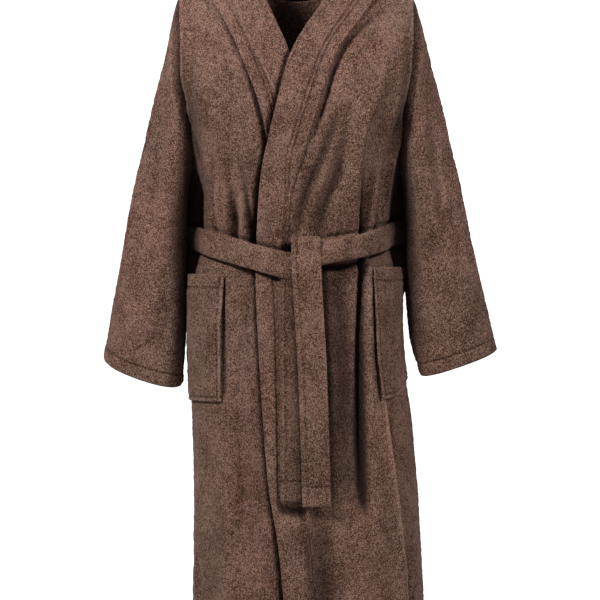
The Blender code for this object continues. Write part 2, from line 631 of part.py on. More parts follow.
def hood(name, side, table, out):
    """One hood half with its collar: sewn round the neck, lying over shoulder, back and chest."""
    even = np.linspace(0, 1, HOOD_STATIONS)
    rows = []
    for along in even - 0.10 * np.sin(2 * np.pi * even) * (1 - even):
        seam_x = side * table.read("seam_x", along)
        edge_x = side * table.read("edge_x", along)
        seam = table.read("seam_bow", along)
        edge = table.read("edge_bow", along)
        form = {key: float(HOOD_FORM.read(key, along)) for key in HOOD_FORM.names[1:]}
        ends = skin(*shoulder_place(np.array([seam_x, edge_x]), np.array([seam, edge])))
        length = np.linalg.norm(ends[1] - ends[0])
        distance, height = hood_profile(form, length)
        share = distance / length
        x = seam_x + (edge_x - seam_x) * share
        turn, level = shoulder_place(x, seam + (edge - seam) * share)
        away = outward(turn, level)
        upright = form["upright"] * np.exp(-(np.maximum(distance, 0) / 0.05) ** 2)[:, None]
        away = unit(away * (1 - upright) + np.array([0, 0, 1]) * upright)
        base = skin(turn, level)
        rise = height + out(turn, base[:, 2]) + fold_height(turn, base[:, 2])
        rows.append(base + away * rise[:, None])
    outer = np.array(rows)
    along_hood = np.gradient(outer, axis=0)
    across_hood = np.gradient(outer, axis=1)
    inner = outer - side * unit(np.cross(along_hood, across_hood)) * TERRY
    outer[0, :, 0] = side * SEAM / 2
    inner[0, :, 0] = side * SEAM / 2
    return add_wall(name, outer, inner, TERRY_BROWN)


def front_band():
    """The doubled band that edges the top front from the collar's end down to the hem."""
    z = np.append(np.linspace(HEM_Z, HIP_Z, UNDER_ROWS)[:-1],
                  np.linspace(HIP_Z, BAND_TOP_Z, WAIST_ROWS))[:, None]
    share = np.array([0.0, 0.5, 1.0])[None, :]
    wider = (BAND_TOP_WIDTH - BAND_WIDTH) * ease_step(BAND_EVEN_Z, BAND_TOP_Z, z)
    x = LEFT_EDGE.read("x", z) + share * (BAND_WIDTH + wider)
    level = level_at(x, z)
    turn = turn_at(x, level)
    outer = on_robe(turn, level, BAND_OUT + lap_out(turn, z + 0 * share))
    inner = outer - outward(turn, level) * TERRY
    return add_wall("band_left", outer, inner, TERRY_BROWN)


def belt_wrap():
    """The belt round the waist: its two ends cross behind the tie end that hangs in front."""
    turn = np.linspace(7, -360, 52)[:, None]
    share = np.array([-0.5, 0.0, 0.5])[None, :]
    z = BELT_COURSE.read("z", turn) + share * BELT_WIDTH
    level = (z - UNDERARM_Z) / (UNDERARM_Z - HEM_Z)
    turn = turn + 0 * share
    away = outward(turn, level)
    spill = fold_height(turn, z, SIDE_SPILLS)
    outer = skin(turn, level) + away * (BELT_COURSE.read("out", turn) + spill)[..., None]
    return add_wall("belt_wrap", outer, outer - away * BELT, BELT_BROWN)


def tie_path():
    """The hanging tie from its tuck behind the belt, over the belt and down: height, distance."""
    loop_out = FRONT_TIE.read("out", TIE_LOOP_Z)
    tuck_out = LAP + BAND_OUT + SEAM
    middle = (loop_out + tuck_out) / 2
    bend = np.radians(np.linspace(0, 180, 7))
    radius = (loop_out - tuck_out) / 2
    loop = np.stack([TIE_LOOP_Z + radius * np.sin(bend), middle - radius * np.cos(bend)], axis=-1)
    tuck = np.array([[TIE_TUCK_Z, tuck_out]])
    z = np.linspace(TIE_LOOP_Z - 0.02, FRONT_TIE.rows[0, 0], 13)
    fall = np.stack([z, FRONT_TIE.read("out", z)], axis=-1)
    return np.concatenate([tuck, loop, fall])


def tie_end(name, path, table):
    """A tie end as a flat strip along a path of heights and distances out."""
    z = path[:, :1]
    share = np.array([-0.5, 0.0, 0.5])[None, :]
    level = (z - UNDERARM_Z) / (UNDERARM_Z - HEM_Z) + 0 * share
    x = table.read("x", z) + share * TIE_WIDTH
    turn = turn_at(x, level)
    outer = on_robe(turn, level, path[:, 1:] + 0 * share)
    along = np.gradient(outer, axis=0)
    across = np.gradient(outer, axis=1)
    inner = outer - unit(np.cross(across, -along)) * BELT
    return add_wall(name, outer, inner, BELT_BROWN)


def pocket(name, side, inner_turn, top_z, foot_z, sweep, out):
    """A patch pocket on a front: sewn down on three sides, its mouth standing a little open."""
    across = np.linspace(0, 1, 9)[None, :]
    up = np.linspace(0, 1, 8)[:, None]
    turn = side * (inner_turn + (POCKET_EDGE - inner_turn) * across) + 0 * up
    foot = foot_z + sweep * across ** POCKET_SWEEP
    z = foot + (top_z - foot) * up
    level = (z - UNDERARM_Z) / (UNDERARM_Z - HEM_Z)
    gape = POCKET_GAPE * np.sin(np.pi * across) ** 0.8 * up ** 1.5
    rise = EASE + TERRY + gape + out(turn, z)
    outer = on_robe(turn, level, rise)
    inner = outer - outward(turn, level) * TERRY
    return add_wall(name, outer, inner, TERRY_BROWN)


def flat(turn, z):
    """No distance out: the cloth lies in the robe's own face."""
    return np.zeros(np.broadcast(turn, z).shape)


for old in list(bpy.data.objects):
    bpy.data.objects.remove(old)
for panel_part in ("skirt", "bodice"):
    back(panel_part)
    front("front_left", panel_part, 1, LEFT_EDGE, 26, lap_out)
    front("front_right", panel_part, -1, RIGHT_EDGE, 22, flat)
sleeve("sleeve_left", 1, LEFT_SLEEVE)
sleeve("sleeve_right", -1, RIGHT_SLEEVE)
hood("hood_left", 1, LEFT_HOOD, lap_out)
hood("hood_right", -1, RIGHT_HOOD, flat)
for pocket_name, (side, edge, top, foot, sweep) in POCKETS.items():
    pocket(pocket_name, side, edge, top, foot, sweep, lap_out if side > 0 else flat)
front_band()
belt_wrap()
tie_end("belt_end_front", tie_path(), FRONT_TIE)
back_z = np.linspace(BACK_TIE.rows[-1, 0], BACK_TIE.rows[0, 0], 13)
tie_end("belt_end_back", np.stack([back_z, BACK_TIE.read("out", back_z)], axis=-1), BACK_TIE)
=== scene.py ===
"""Hooded terry bathrobe: the cloth, its pile, sewing and folds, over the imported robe.

The sections follow the robe as it is put together: back, fronts, front band, sleeves, hood,
pockets, belt; then studio and camera. Metres, +Z up, the front faces -Y, +X is the wearer's left.
"""

import bpy
import numpy as np
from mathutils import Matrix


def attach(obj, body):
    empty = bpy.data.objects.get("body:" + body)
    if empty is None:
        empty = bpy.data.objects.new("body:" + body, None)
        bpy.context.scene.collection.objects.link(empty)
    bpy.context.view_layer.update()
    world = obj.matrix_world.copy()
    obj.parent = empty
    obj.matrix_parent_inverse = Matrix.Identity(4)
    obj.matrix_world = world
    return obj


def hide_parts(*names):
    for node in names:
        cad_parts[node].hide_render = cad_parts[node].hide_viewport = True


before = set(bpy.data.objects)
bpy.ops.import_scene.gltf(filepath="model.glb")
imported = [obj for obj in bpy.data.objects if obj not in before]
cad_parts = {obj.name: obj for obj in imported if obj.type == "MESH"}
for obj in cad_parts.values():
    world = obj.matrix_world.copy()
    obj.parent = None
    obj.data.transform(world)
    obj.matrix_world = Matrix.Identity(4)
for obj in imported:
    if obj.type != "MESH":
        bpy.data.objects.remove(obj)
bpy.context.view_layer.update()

# Back panel: one width of looped cotton terry, cut in one from the shoulders to the hem.
# It curves round the back in squared ovals, gathers under the belt and falls in flutes below.
# A place on the body is a turn (0 at the centre front, 90 at the wearer's left, 180 behind)
# and a level (-1 at the hem, 0 at the underarm, 1 on the shoulder seam).
HEM_Z = -1.180
HIP_Z = -0.490
UNDERARM_Z = -0.295
NECK_Z = 0.020
NECK_HALF = 0.078
NECK_DROP = 0.046
SHOULDER_SLOPE = 0.36
SHOULDER_EASE = 0.050
SQUARE = 2.3
CROWN = 2.2
SIDE_SEAM_HIP = 108.0
SIDE_SEAM_ARM = 90.0
YOKE_RISE = 0.315
YOKE_DEPTH = 0.12
BELT_Z = -0.425
BELT_GRIP = 0.09
TERRY = 0.0025
DOUBLE = 0.0042
SEAM_LAP = 0.0004
GRID_STEP = 0.0026
ROUNDING = 0.0045
CLOSE_ROWS = np.array([0, 0.0006, 0.0014, 0.0026])
SETTLING = 30


class Table:
    """Rows of measures with named columns, read between its rows along a smooth curve."""

    def __init__(self, names, rows):
        self.names = names.split()
        self.rows = np.array(rows, dtype=float)
        self.rows = self.rows[np.argsort(self.rows[:, 0])]

    def read(self, name, at):
        """A column's value at a place on the first column: a cubic that never overshoots a row."""
        place = self.rows[:, 0]
        value = self.rows[:, self.names.index(name)]
        steep = np.diff(value) / np.diff(place)
        product = steep[:-1] * steep[1:]
        total = np.where(product > 0, steep[:-1] + steep[1:], 1)
        mean = np.where(product > 0, 2 * product / total, 0)
        slope = np.concatenate([steep[:1], mean, steep[-1:]])
        at = np.clip(at, place[0], place[-1])
        low = np.clip(np.searchsorted(place, at) - 1, 0, len(place) - 2)
        gap = place[low + 1] - place[low]
        t = (at - place[low]) / gap
        start = value[low] * (1 + 2 * t) * (1 - t) ** 2 + slope[low] * gap * t * (1 - t) ** 2
        end = value[low + 1] * t ** 2 * (3 - 2 * t) - slope[low + 1] * gap * t ** 2 * (1 - t)
        return start + end


# Half extents of the body below the underarm, to the wearer's right and left, front and back
SKIRT = Table("z right left front back", [
    (-0.295, 0.164, 0.162, 0.118, 0.112),
    (-0.358, 0.149, 0.152, 0.111, 0.102),
    (-0.430, 0.151, 0.148, 0.102, 0.095),
    (-0.478, 0.163, 0.158, 0.107, 0.104),
    (-0.600, 0.172, 0.168, 0.118, 0.124),
    (-0.690, 0.170, 0.182, 0.122, 0.130),
    (-0.840, 0.167, 0.196, 0.128, 0.138),
    (-1.003, 0.168, 0.204, 0.134, 0.146),
    (-1.180, 0.172, 0.209, 0.141, 0.153)])
YOKE = Table("level right left front back", [
    (0.00, 0.164, 0.162, 0.118, 0.112),
    (0.15, 0.178, 0.176, 0.120, 0.115),
    (0.30, 0.199, 0.197, 0.121, 0.119),
    (0.50, 0.224, 0.220, 0.120, 0.122),
    (0.75, 0.230, 0.226, 0.118, 0.124),
    (1.00, 0.234, 0.230, 0.112, 0.122)])
ARMHOLE = Table("level right left", [
    (0.00, 0.1640, 0.1620),
    (0.07, 0.1670, 0.1645),
    (0.24, 0.1760, 0.1710),
    (0.39, 0.1835, 0.1760),
    (0.49, 0.1865, 0.1800),
    (0.70, 0.1870, 0.1840),
    (1.00, 0.1900, 0.1880)])

# Main folds: a line from its top to its foot, half width in degrees, height in metres
FOLDS = [
    (-66, -0.090, -62, -0.230, 5.0, -0.0050),
    (-57, -0.290, -58, -0.412, 3.2, 0.0050),
    (-50, -0.300, -51, -0.414, 3.0, -0.0045),
    (-43, -0.280, -44, -0.418, 3.2, 0.0050),
    (-36, -0.330, -38, -0.430, 3.4, -0.0070),
    (-27, -0.270, -29, -0.430, 4.0, 0.0055),
    (16, -0.190, 10, -0.390, 4.5, 0.0055),
    (24, -0.170, 20, -0.400, 4.5, -0.0050),
    (33, -0.190, 32, -0.410, 4.5, 0.0070),
    (43, -0.300, 40, -0.428, 3.4, -0.0080),
    (50, -0.170, 48, -0.415, 4.0, 0.0060),
    (60, -0.180, 58, -0.415, 4.0, -0.0050),
    (70, -0.200, 68, -0.410, 4.0, 0.0050),
    (27, -0.440, 25, -0.960, 7.0, -0.0100),
    (44, -0.640, 61, -1.400, 3.6, 0.0080),
    (53, -0.660, 70, -1.400, 5.0, -0.0050),
    (2, -0.480, 3, -0.900, 6.0, -0.0050),
    (-13, -0.550, -9, -1.400, 5.0, 0.0040),
    (-30, -0.480, -27, -0.980, 4.5, -0.0060),
    (-38, -0.700, -34, -1.400, 7.0, 0.0050),
    (-56, -0.700, -53, -1.400, 7.0, -0.0040),
    (-68, -0.860, -64, -1.400, 4.0, -0.0060),
    (-60, -0.440, -58, -0.700, 4.0, -0.0040),
    (10, -0.950, 14, -1.500, 7.0, -0.0050),
    (38, -0.900, 44, -1.500, 6.0, -0.0060),
    (214, -0.250, 212, -0.378, 5.0, 0.0060),
    (200, -0.270, 202, -0.378, 4.5, -0.0060),
    (188, -0.260, 190, -0.378, 4.5, 0.0050),
    (174, -0.270, 172, -0.378, 4.5, -0.0055),
    (161, -0.250, 160, -0.378, 5.0, 0.0060),
    (146, -0.260, 148, -0.378, 4.5, -0.0050),
    (132, -0.240, 134, -0.380, 5.0, 0.0050),
    (228, -0.240, 226, -0.380, 5.0, -0.0050),
    (243, -0.220, 238, -0.380, 5.0, 0.0050),
    (130, -0.440, 126, -1.400, 7.0, -0.0080),
    (147, -0.430, 145, -1.500, 7.0, 0.0090),
    (163, -0.440, 165, -1.500, 6.0, -0.0100),
    (181, -0.430, 184, -1.500, 8.0, 0.0090),
    (199, -0.440, 204, -1.500, 6.0, -0.0110),
    (216, -0.430, 221, -1.500, 7.5, 0.0090),
    (233, -0.450, 238, -1.500, 6.0, -0.0080)]
SIDE_SPILLS = [
    (104, -0.215, 107, -0.545, 15.0, 0.0335),
    (256, -0.215, 253, -0.545, 15.0, 0.0335)]

# Creases: sharper troughs and ridges that lie in and between the folds
CREASES = [
    # the right front, above the belt
    (-62.0, -0.345, -62.5, -0.425, 1.6, -0.0040),
    (-70.0, -0.150, -67.0, -0.330, 2.6, -0.0035),
    # the left front, where creases fan from the waist
    (37.5, -0.100, 33.5, -0.260, 3.6, 0.0030),
    (64.0, -0.270, 63.0, -0.420, 2.0, -0.0030),
    # between the body and the fullness that spills out behind it at each side of the waist
    (87, -0.270, 91, -0.540, 5.0, -0.0120),
    (-87, -0.270, -91, -0.540, 5.0, -0.0120),
    (104, -0.200, 108, -0.560, 13.0, 0.0060),
    (256, -0.200, 252, -0.560, 13.0, 0.0060),
    # the skirt: soft lines under the belt and down the sides
    (-24.0, -0.470, -22.0, -0.640, 1.6, -0.0030),
    (-45.0, -0.470, -44.0, -0.600, 2.2, 0.0025),
    (78.0, -0.520, 84.0, -1.280, 3.0, -0.0035),
    (-83.0, -0.500, -88.0, -1.260, 3.2, -0.0035),
    (-73.0, -0.840, -70.0, -1.270, 1.6, 0.0030),
    (18.0, -0.880, 20.0, -1.260, 3.0, 0.0030),
    (-24.0, -0.900, -20.0, -1.300, 3.0, -0.0030),
    # the back: sharper gathers at the belt and lines between the flutes
    (141, -0.300, 142, -0.386, 1.8, -0.0035),
    (154, -0.310, 155, -0.388, 1.8, -0.0040),
    (168, -0.300, 168, -0.388, 1.6, 0.0030),
    (181, -0.310, 180, -0.388, 1.8, -0.0040),
    (195, -0.300, 196, -0.388, 1.8, 0.0030),
    (208, -0.310, 207, -0.388, 1.8, -0.0040),
    (221, -0.300, 220, -0.386, 1.8, -0.0035),
    (139, -0.440, 135, -0.700, 2.4, -0.0030),
    (171, -0.440, 173, -0.760, 2.2, 0.0030),
    (190, -0.440, 194, -0.700, 2.2, -0.0030),
    (225, -0.440, 229, -0.760, 2.4, -0.0030)]


def ease_step(low, high, at):
    """0 up to the low value, 1 from the high one, and a smooth S between them."""
    t = np.clip((at - low) / (high - low), 0, 1)
    return t * t * (3 - 2 * t)


def bell(distance, width):
    """1 at no distance, falling to about a third at the width and away to nothing."""
    return np.exp(-(distance / width) ** 2)


def squared(wave, power=2 / SQUARE):
    """A sine or cosine pushed outwards, which turns a circle into a squared oval."""
    return np.sign(wave) * np.abs(wave) ** power


def low_z(level):
    """Height of a level below the underarm."""
    return UNDERARM_Z + level * (UNDERARM_Z - HEM_Z)


def low_level(z):
    """Level of a height below the underarm."""
    return (z - UNDERARM_Z) / (UNDERARM_Z - HEM_Z)


def shoulder_z(x):
    """Height of the shoulder line: a hyperbola, level at the neck, falling to each armhole."""
    run = np.hypot(x, SHOULDER_EASE) - np.hypot(NECK_HALF, SHOULDER_EASE)
    return NECK_Z - SHOULDER_SLOPE * run


def level_at(x, z):
    """Level of a place known by its width and height."""
    above = (z - UNDERARM_Z) / (shoulder_z(x) - UNDERARM_Z)
    return np.where(z > UNDERARM_Z, np.minimum(above, 1), low_level(z))


def extent(name, level):
    """One half extent of the ring at a level."""
    return np.where(level > 0, YOKE.read(name, level), SKIRT.read(name, low_z(np.minimum(level, 0))))


def turn_at(x, level):
    """Turn, on the front half, of a place known by its width and level."""
    reach = np.where(x > 0, extent("left", level), extent("right", level))
    share = np.clip(np.abs(x) / reach, 0, 1)
    return np.sign(x) * np.degrees(np.arcsin(share ** (SQUARE / 2)))


def skin(turn, level):
    """Smooth outer face: squared ovals that close over the shoulders along a rounded crown."""
    across = squared(np.sin(np.radians(turn)))
    along = squared(np.cos(np.radians(turn)))
    x = across * np.where(across > 0, extent("left", level), extent("right", level))
    closing = (1 - np.clip(level, 0, 1) ** CROWN) ** (1 / CROWN)
    y = -along * closing * np.where(along > 0, extent("front", level), extent("back", level))
    high_z = UNDERARM_Z + level * (shoulder_z(x) - UNDERARM_Z)
    return np.stack([x, y, np.where(level > 0, high_z, low_z(level))], axis=-1)


def unit(vectors):
    """Vectors brought to length one."""
    return vectors / np.maximum(np.linalg.norm(vectors, axis=-1, keepdims=True), 1e-12)


def outward(turn, level):
    """Direction out of the smooth outer face: across its turn and its level."""
    side = skin(turn + 0.5, level) - skin(turn - 0.5, level)
    rise = skin(turn, np.minimum(level + 0.004, 1)) - skin(turn, level - 0.004)
    return unit(np.cross(side, rise))


def fold_height(turn, z, folds):
    """How far folds raise or sink the cloth: bell-shaped across each fold, fading at its ends."""
    total = np.zeros(np.broadcast(turn, z).shape)
    for top_turn, top_z, foot_turn, foot_z, width, height in folds:
        down = (top_z - z) / (top_z - foot_z)
        middle = top_turn + (foot_turn - top_turn) * np.clip(down, 0, 1)
        away = (turn - middle + 180) % 360 - 180
        ends = ease_step(0, 0.3, down) * ease_step(0, 0.3, 1 - down)
        total = total + height * bell(away, width) * ends
    return total


CELLS = 32
LATTICE = np.random.default_rng(7).uniform(-1, 1, (CELLS, CELLS, CELLS))

# Layers of lumps: how high and how large they are, and how far into the lattice they are read
SLACK = [
    (0.0022, (0.060, 0.060, 0.150), 0.37),
    (0.0009, (0.026, 0.026, 0.055), 0.11)]
PILE = [
    (0.00085, 0.0036, 0),
    (0.00050, 0.0095, 0.7)]


def lumps(points, size):
    """Soft random heights from -1 to 1: a lattice of random values, smoothly joined in space."""
    place = points / np.asarray(size)
    cell = np.floor(place).astype(int)
    t = place - cell
    t = t * t * (3 - 2 * t)
    total = np.zeros(points.shape[:-1])
    for corner in np.ndindex(2, 2, 2):
        index = (cell + corner) % CELLS
        weight = np.prod(np.where(np.array(corner) == 1, t, 1 - t), axis=-1)
        total += LATTICE[index[..., 0], index[..., 1], index[..., 2]] * weight
    return total


def layered(points, layers):
    """Heights of several layers of lumps together."""
    return sum(height * lumps(points + shift, size) for height, size, shift in layers)


def slack(points):
    """Small unevenness of cloth that hangs: lumps longer than they are wide, few at the belt."""
    loose = np.minimum(np.abs(points[..., 2] - BELT_Z) / BELT_GRIP, 1)
    return layered(points, SLACK) * (0.25 + 0.75 * loose)


def on_robe(turn, level, out=0.0, creases=CREASES):
    """A place on the folded cloth, moved out by a distance."""
    base = skin(turn, level)
    rise = out + fold_height(turn, base[..., 2], FOLDS + SIDE_SPILLS + creases) + slack(base)
    return base + outward(turn, level) * np.asarray(rise)[..., None]


def graded(length, step=GRID_STEP):
    """Shares of a length from 0 to 1, closer together near both ends, where cloth rounds over."""
    count = max(int((length - 2 * ROUNDING) / step), 2) + 1
    inner = np.linspace(ROUNDING, length - ROUNDING, count)
    return np.concatenate([CLOSE_ROWS, inner, (length - CLOSE_ROWS)[::-1]]) / length


def body_levels(step=GRID_STEP):
    """The levels of a body panel's rows: even up to the underarm, then even over the shoulder."""
    tall = UNDERARM_Z - HEM_Z
    low = graded(tall, step)
    low = low[low < 1 - 0.004 / tall] - 1
    fine = np.sin(np.linspace(0, np.pi / 2, 400)) ** (2 / CROWN)
    depth = (1 - fine ** CROWN) ** (1 / CROWN)
    steps = np.hypot(YOKE_RISE * np.diff(fine), YOKE_DEPTH * np.diff(depth))
    run = np.append(0, np.cumsum(steps))
    high = np.interp(graded(run[-1], step)[len(CLOSE_ROWS):] * run[-1], run, fine)
    return np.concatenate([low, [0.0], high])[:, None]


def side_turn(side, level):
    """Turn of the side seam below the underarm, and of the armhole's front edge above it."""
    drift = 1 - ease_step(HIP_Z, UNDERARM_Z, low_z(level))
    seam = SIDE_SEAM_ARM + (SIDE_SEAM_HIP - SIDE_SEAM_ARM) * drift
    name = "left" if side > 0 else "right"
    cut = np.abs(turn_at(side * ARMHOLE.read(name, level), level))
    return np.where(level > 0, cut, seam)


def run_of(points, axis):
    """Distance travelled along a grid of points from its first row or column, and what is left."""
    step = np.linalg.norm(np.diff(points, axis=axis), axis=-1)
    pad = [(0, 0), (0, 0)]
    pad[axis] = (1, 0)
    run = np.cumsum(np.pad(step, pad), axis=axis)
    return run, np.take(run, [-1], axis=axis) - run


def face_out(points, side, tube):
    """Direction out of a grid of points, from its two slopes."""
    if tube:
        around = np.roll(points, -1, axis=1) - np.roll(points, 1, axis=1)
    else:
        around = np.gradient(points, axis=1)
    return side * unit(np.cross(around, np.gradient(points, axis=0)))


SEAM_SINK = 0.0035
SEAM_SINK_WIDTH = 0.0055
SHARP = np.radians(72)
ROLL = 1.7
THINNEST = 0.03


def sunk_seam(distance):
    """How far cloth is drawn in towards a seam, by the distance from it."""
    return -SEAM_SINK * bell(distance, SEAM_SINK_WIDTH)


def armhole_ease(level):
    """The share of a seam's pull by level: whole down the side seam, little round the armhole."""
    return 1 - 0.7 * ease_step(-0.02, 0.08, level)


def sewn_line(distance, depth=0.0013, width=0.0024):
    """A row of stitches pulls the pile down in a narrow trough and lifts it a little beside it."""
    return depth * (0.4 * bell(distance, 2.6 * width) - bell(distance, width))


EDGES = ("foot", "head", "start", "end")


def halved(count):
    """Every second place of a row, with its last."""
    return np.unique(np.append(np.arange(0, count, 2), count - 1))


def hem_strip(fine, coarse):
    """Faces that join a row of points to a row of half as many, as quads and triangles."""
    owner = coarse[(np.arange(len(fine)) + 1) // 2]
    whole = owner[:-1] != owner[1:]
    quads = np.stack([fine[:-1], fine[1:], owner[1:], owner[:-1]], axis=-1)[whole]
    triangles = np.stack([fine[:-1], fine[1:], owner[1:]], axis=-1)[~whole]
    return quads, triangles


def built_mesh(name, points, quads, triangles):
    """A smooth mesh from whole arrays: its points, its four-cornered faces, then its triangles."""
    corners = np.concatenate([quads.ravel(), triangles.ravel()])
    firsts = np.append(np.arange(0, quads.size, 4), quads.size + np.arange(0, triangles.size, 3))
    mesh = bpy.data.meshes.new(name)
    mesh.vertices.add(len(points))
    mesh.vertices.foreach_set("co", points.astype(np.float32).ravel())
    mesh.loops.add(len(corners))
    mesh.loops.foreach_set("vertex_index", corners.astype(np.int32))
    mesh.polygons.add(len(firsts))
    mesh.polygons.foreach_set("loop_start", firsts.astype(np.int32))
    mesh.update(calc_edges=True)
    mesh.validate()
    mesh.shade_smooth()
    mesh.set_sharp_from_angle(angle=SHARP)
    return mesh


def placed(name, data):
    """A new object in the scene that shows a mesh, a light or a camera."""
    made = bpy.data.objects.new(name, data)
    bpy.context.collection.objects.link(made)
    return made


def cloth(name, outer, thick, side, nodes, sewing=(), free=EDGES, tube=False, slot="terry", painted_shading=0.0):
    """A cloth wall as one closed mesh, riding on the robe in place of its solids.

    The outer face is a grid of points, and the inner face lies the thickness behind it on every
    second row and column. Towards each free edge both close on the wall's middle along a quarter
    circle, as turned cloth does. The pile roughens the outer face by small random heights. Each
    row of stitches is given as the distance from it, and pulls the face in along a trough. The
    last argument is painted shading: painted shade in the colour where it is above 0, in hollows
    and shadows, and a painted highlight where it is below 0, on crests.
    """
    out = face_out(outer, side, tube)
    thick = np.broadcast_to(thick, outer.shape[:2])
    runs = dict(zip(("foot", "head"), run_of(outer, 0)))
    if not tube:
        runs.update(zip(("start", "end"), run_of(outer, 1)))
    from_edge = np.ones(outer.shape[:2])
    for edge, distance in runs.items():
        if edge in free:
            from_edge = np.minimum(from_edge, distance)
    bend = np.clip(from_edge / (ROLL * thick / 2), 0, 1)
    half = thick / 2 * np.maximum(np.sqrt(1 - (1 - bend) ** 2), THINNEST)
    pile = layered(outer, PILE) + sum(sewn_line(line) for line in sewing)
    middle = outer - out * (thick / 2)[..., None]
    rows, columns = outer.shape[:2]
    kept = np.ix_(halved(rows), np.arange(0, columns, 2) if tube else halved(columns))
    front = middle + out * (half + pile)[..., None]
    rear = (middle - out * half[..., None])[kept]
    ring = np.arange(rows * columns).reshape(rows, columns)
    inside = rows * columns + np.arange(rear[..., 0].size).reshape(rear.shape[:2])
    if tube:
        ring = np.append(ring, ring[:, :1], axis=1)
        inside = np.append(inside, inside[:, :1], axis=1)
    quads = [np.stack([ring[:-1, :-1], ring[:-1, 1:], ring[1:, 1:], ring[1:, :-1]], axis=-1),
             np.stack([inside[1:, :-1], inside[1:, 1:], inside[:-1, 1:], inside[:-1, :-1]], axis=-1)]
    strips = [hem_strip(ring[0, ::-1], inside[0, ::-1]), hem_strip(ring[-1], inside[-1])]
    if not tube:
        strips += [hem_strip(ring[:, 0], inside[:, 0]), hem_strip(ring[::-1, -1], inside[::-1, -1])]
    quads = np.concatenate([part.reshape(-1, 4) for part in quads] + [part for part, _ in strips])
    triangles = np.concatenate([part for _, part in strips])
    if side < 0:
        quads, triangles = quads[:, ::-1], triangles[:, ::-1]
    points = np.concatenate([front.reshape(-1, 3), rear.reshape(-1, 3)])
    mesh = built_mesh(name, points, quads, triangles)
    marks = np.ones((rows, columns, 4))
    for number, line in enumerate(sewing):
        marks[..., number] = line
    # The fourth mark is the painted shading: painted shade above 0, painted highlight below 0
    marks[..., 3] = painted_shading
    marks = np.concatenate([marks.reshape(-1, 4), marks[kept].reshape(-1, 4)]).astype(np.float32)
    sewn = mesh.attributes.new("sewing", "FLOAT_VECTOR", "POINT")
    sewn.data.foreach_set("vector", marks[:, :3].ravel())
    painted_light_layer = mesh.attributes.new("painted_light_layer", "FLOAT", "POINT")
    painted_light_layer.data.foreach_set("value", marks[:, 3].ravel())
    piece = placed(name, mesh)
    mesh.materials.append(FINISHES[slot])
    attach(piece, "root")
    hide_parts(*nodes)
    return piece


class Value:
    """One shader socket, so that sums on it are written as plain arithmetic."""

    def __init__(self, finish, socket):
        self.finish = finish
        self.socket = socket

    def combine(self, operation, first, second):
        """A Math node on two values or links."""
        return self.finish.node("ShaderNodeMath", {"operation": operation}, {0: first, 1: second})

    def __add__(self, other):
        return self.combine("ADD", self, other)

    def __sub__(self, other):
        return self.combine("SUBTRACT", self, other)

    def __rsub__(self, other):
        return self.combine("SUBTRACT", other, self)

    def __mul__(self, other):
        return self.combine("MULTIPLY", self, other)

    __radd__ = __add__
    __rmul__ = __mul__


class Finish:
    """A material whose nodes are made one call at a time and end in its Principled shader."""

    def __init__(self, name):
        self.material = bpy.data.materials.new(name)
        self.material.use_nodes = True
        self.tree = self.material.node_tree
        self.shader = self.tree.nodes["Principled BSDF"]

    def node(self, kind, settings, sockets, output=0):
        """Any node: its settings first, then a value or a link in each of its sockets."""
        made = self.tree.nodes.new(kind)
        for key, value in settings.items():
            setattr(made, key, value)
        for key, value in sockets.items():
            self.put(made.inputs[key], value)
        return Value(self, made.outputs[output])

    def put(self, socket, value):
        """A value or a link into one socket."""
        if isinstance(value, Value):
            self.tree.links.new(value.socket, socket)
        else:
            socket.default_value = value

    def look(self, values):
        """A value or a link into each of these sockets of its shader."""
        for key, value in values.items():
            self.put(self.shader.inputs[key], value)

    def noise(self, place, scale, detail, rough):
        """Smooth random values about one half."""
        return self.node("ShaderNodeTexNoise", {"noise_dimensions": "3D"},
                         {"Vector": place, "Scale": scale, "Detail": detail, "Roughness": rough})

    def carried(self, value, low, high, first, last, curve="LINEAR"):
        """A value carried over from one range to another and held at its ends."""
        return self.node("ShaderNodeMapRange", {"interpolation_type": curve},
                         {"Value": value, "From Min": low, "From Max": high,
                          "To Min": first, "To Max": last}, output="Result")

    def blend(self, share, first, second):
        """A colour between two colours."""
        return self.node("ShaderNodeMix", {"data_type": "RGBA"},
                         {0: share, 6: first, 7: second}, output=2)


# The colour of painted shade, in hollows and shadows
PAINTED_SHADE_COLOUR = (0.011, 0.0038, 0.0025)

# Noise in the pile: how fine it is, its detail and its roughness
FUZZ = (760.0, 0.0, 0.5)
TUFTS = (430.0, 1.0, 0.6)
CLUMPS = (110.0, 2.0, 0.6)
BRUSHED = (24.0, 2.0, 0.55)
LAY = (7.5, 3.0, 0.55)
LOOPS = 460.0
LONG_PILE = (1, 1, 0.75)
RELIEF = 0.0016

# Ranges and what they are carried over to: the distance from a row of stitches to the share by
# which it darkens the pile, and the lay's noise to the share by which it greys it
STITCHED = (0.0005, 0.0028, 1.0, 0.0)
GREYED = (0.40, 0.62, 0.0, 0.75)


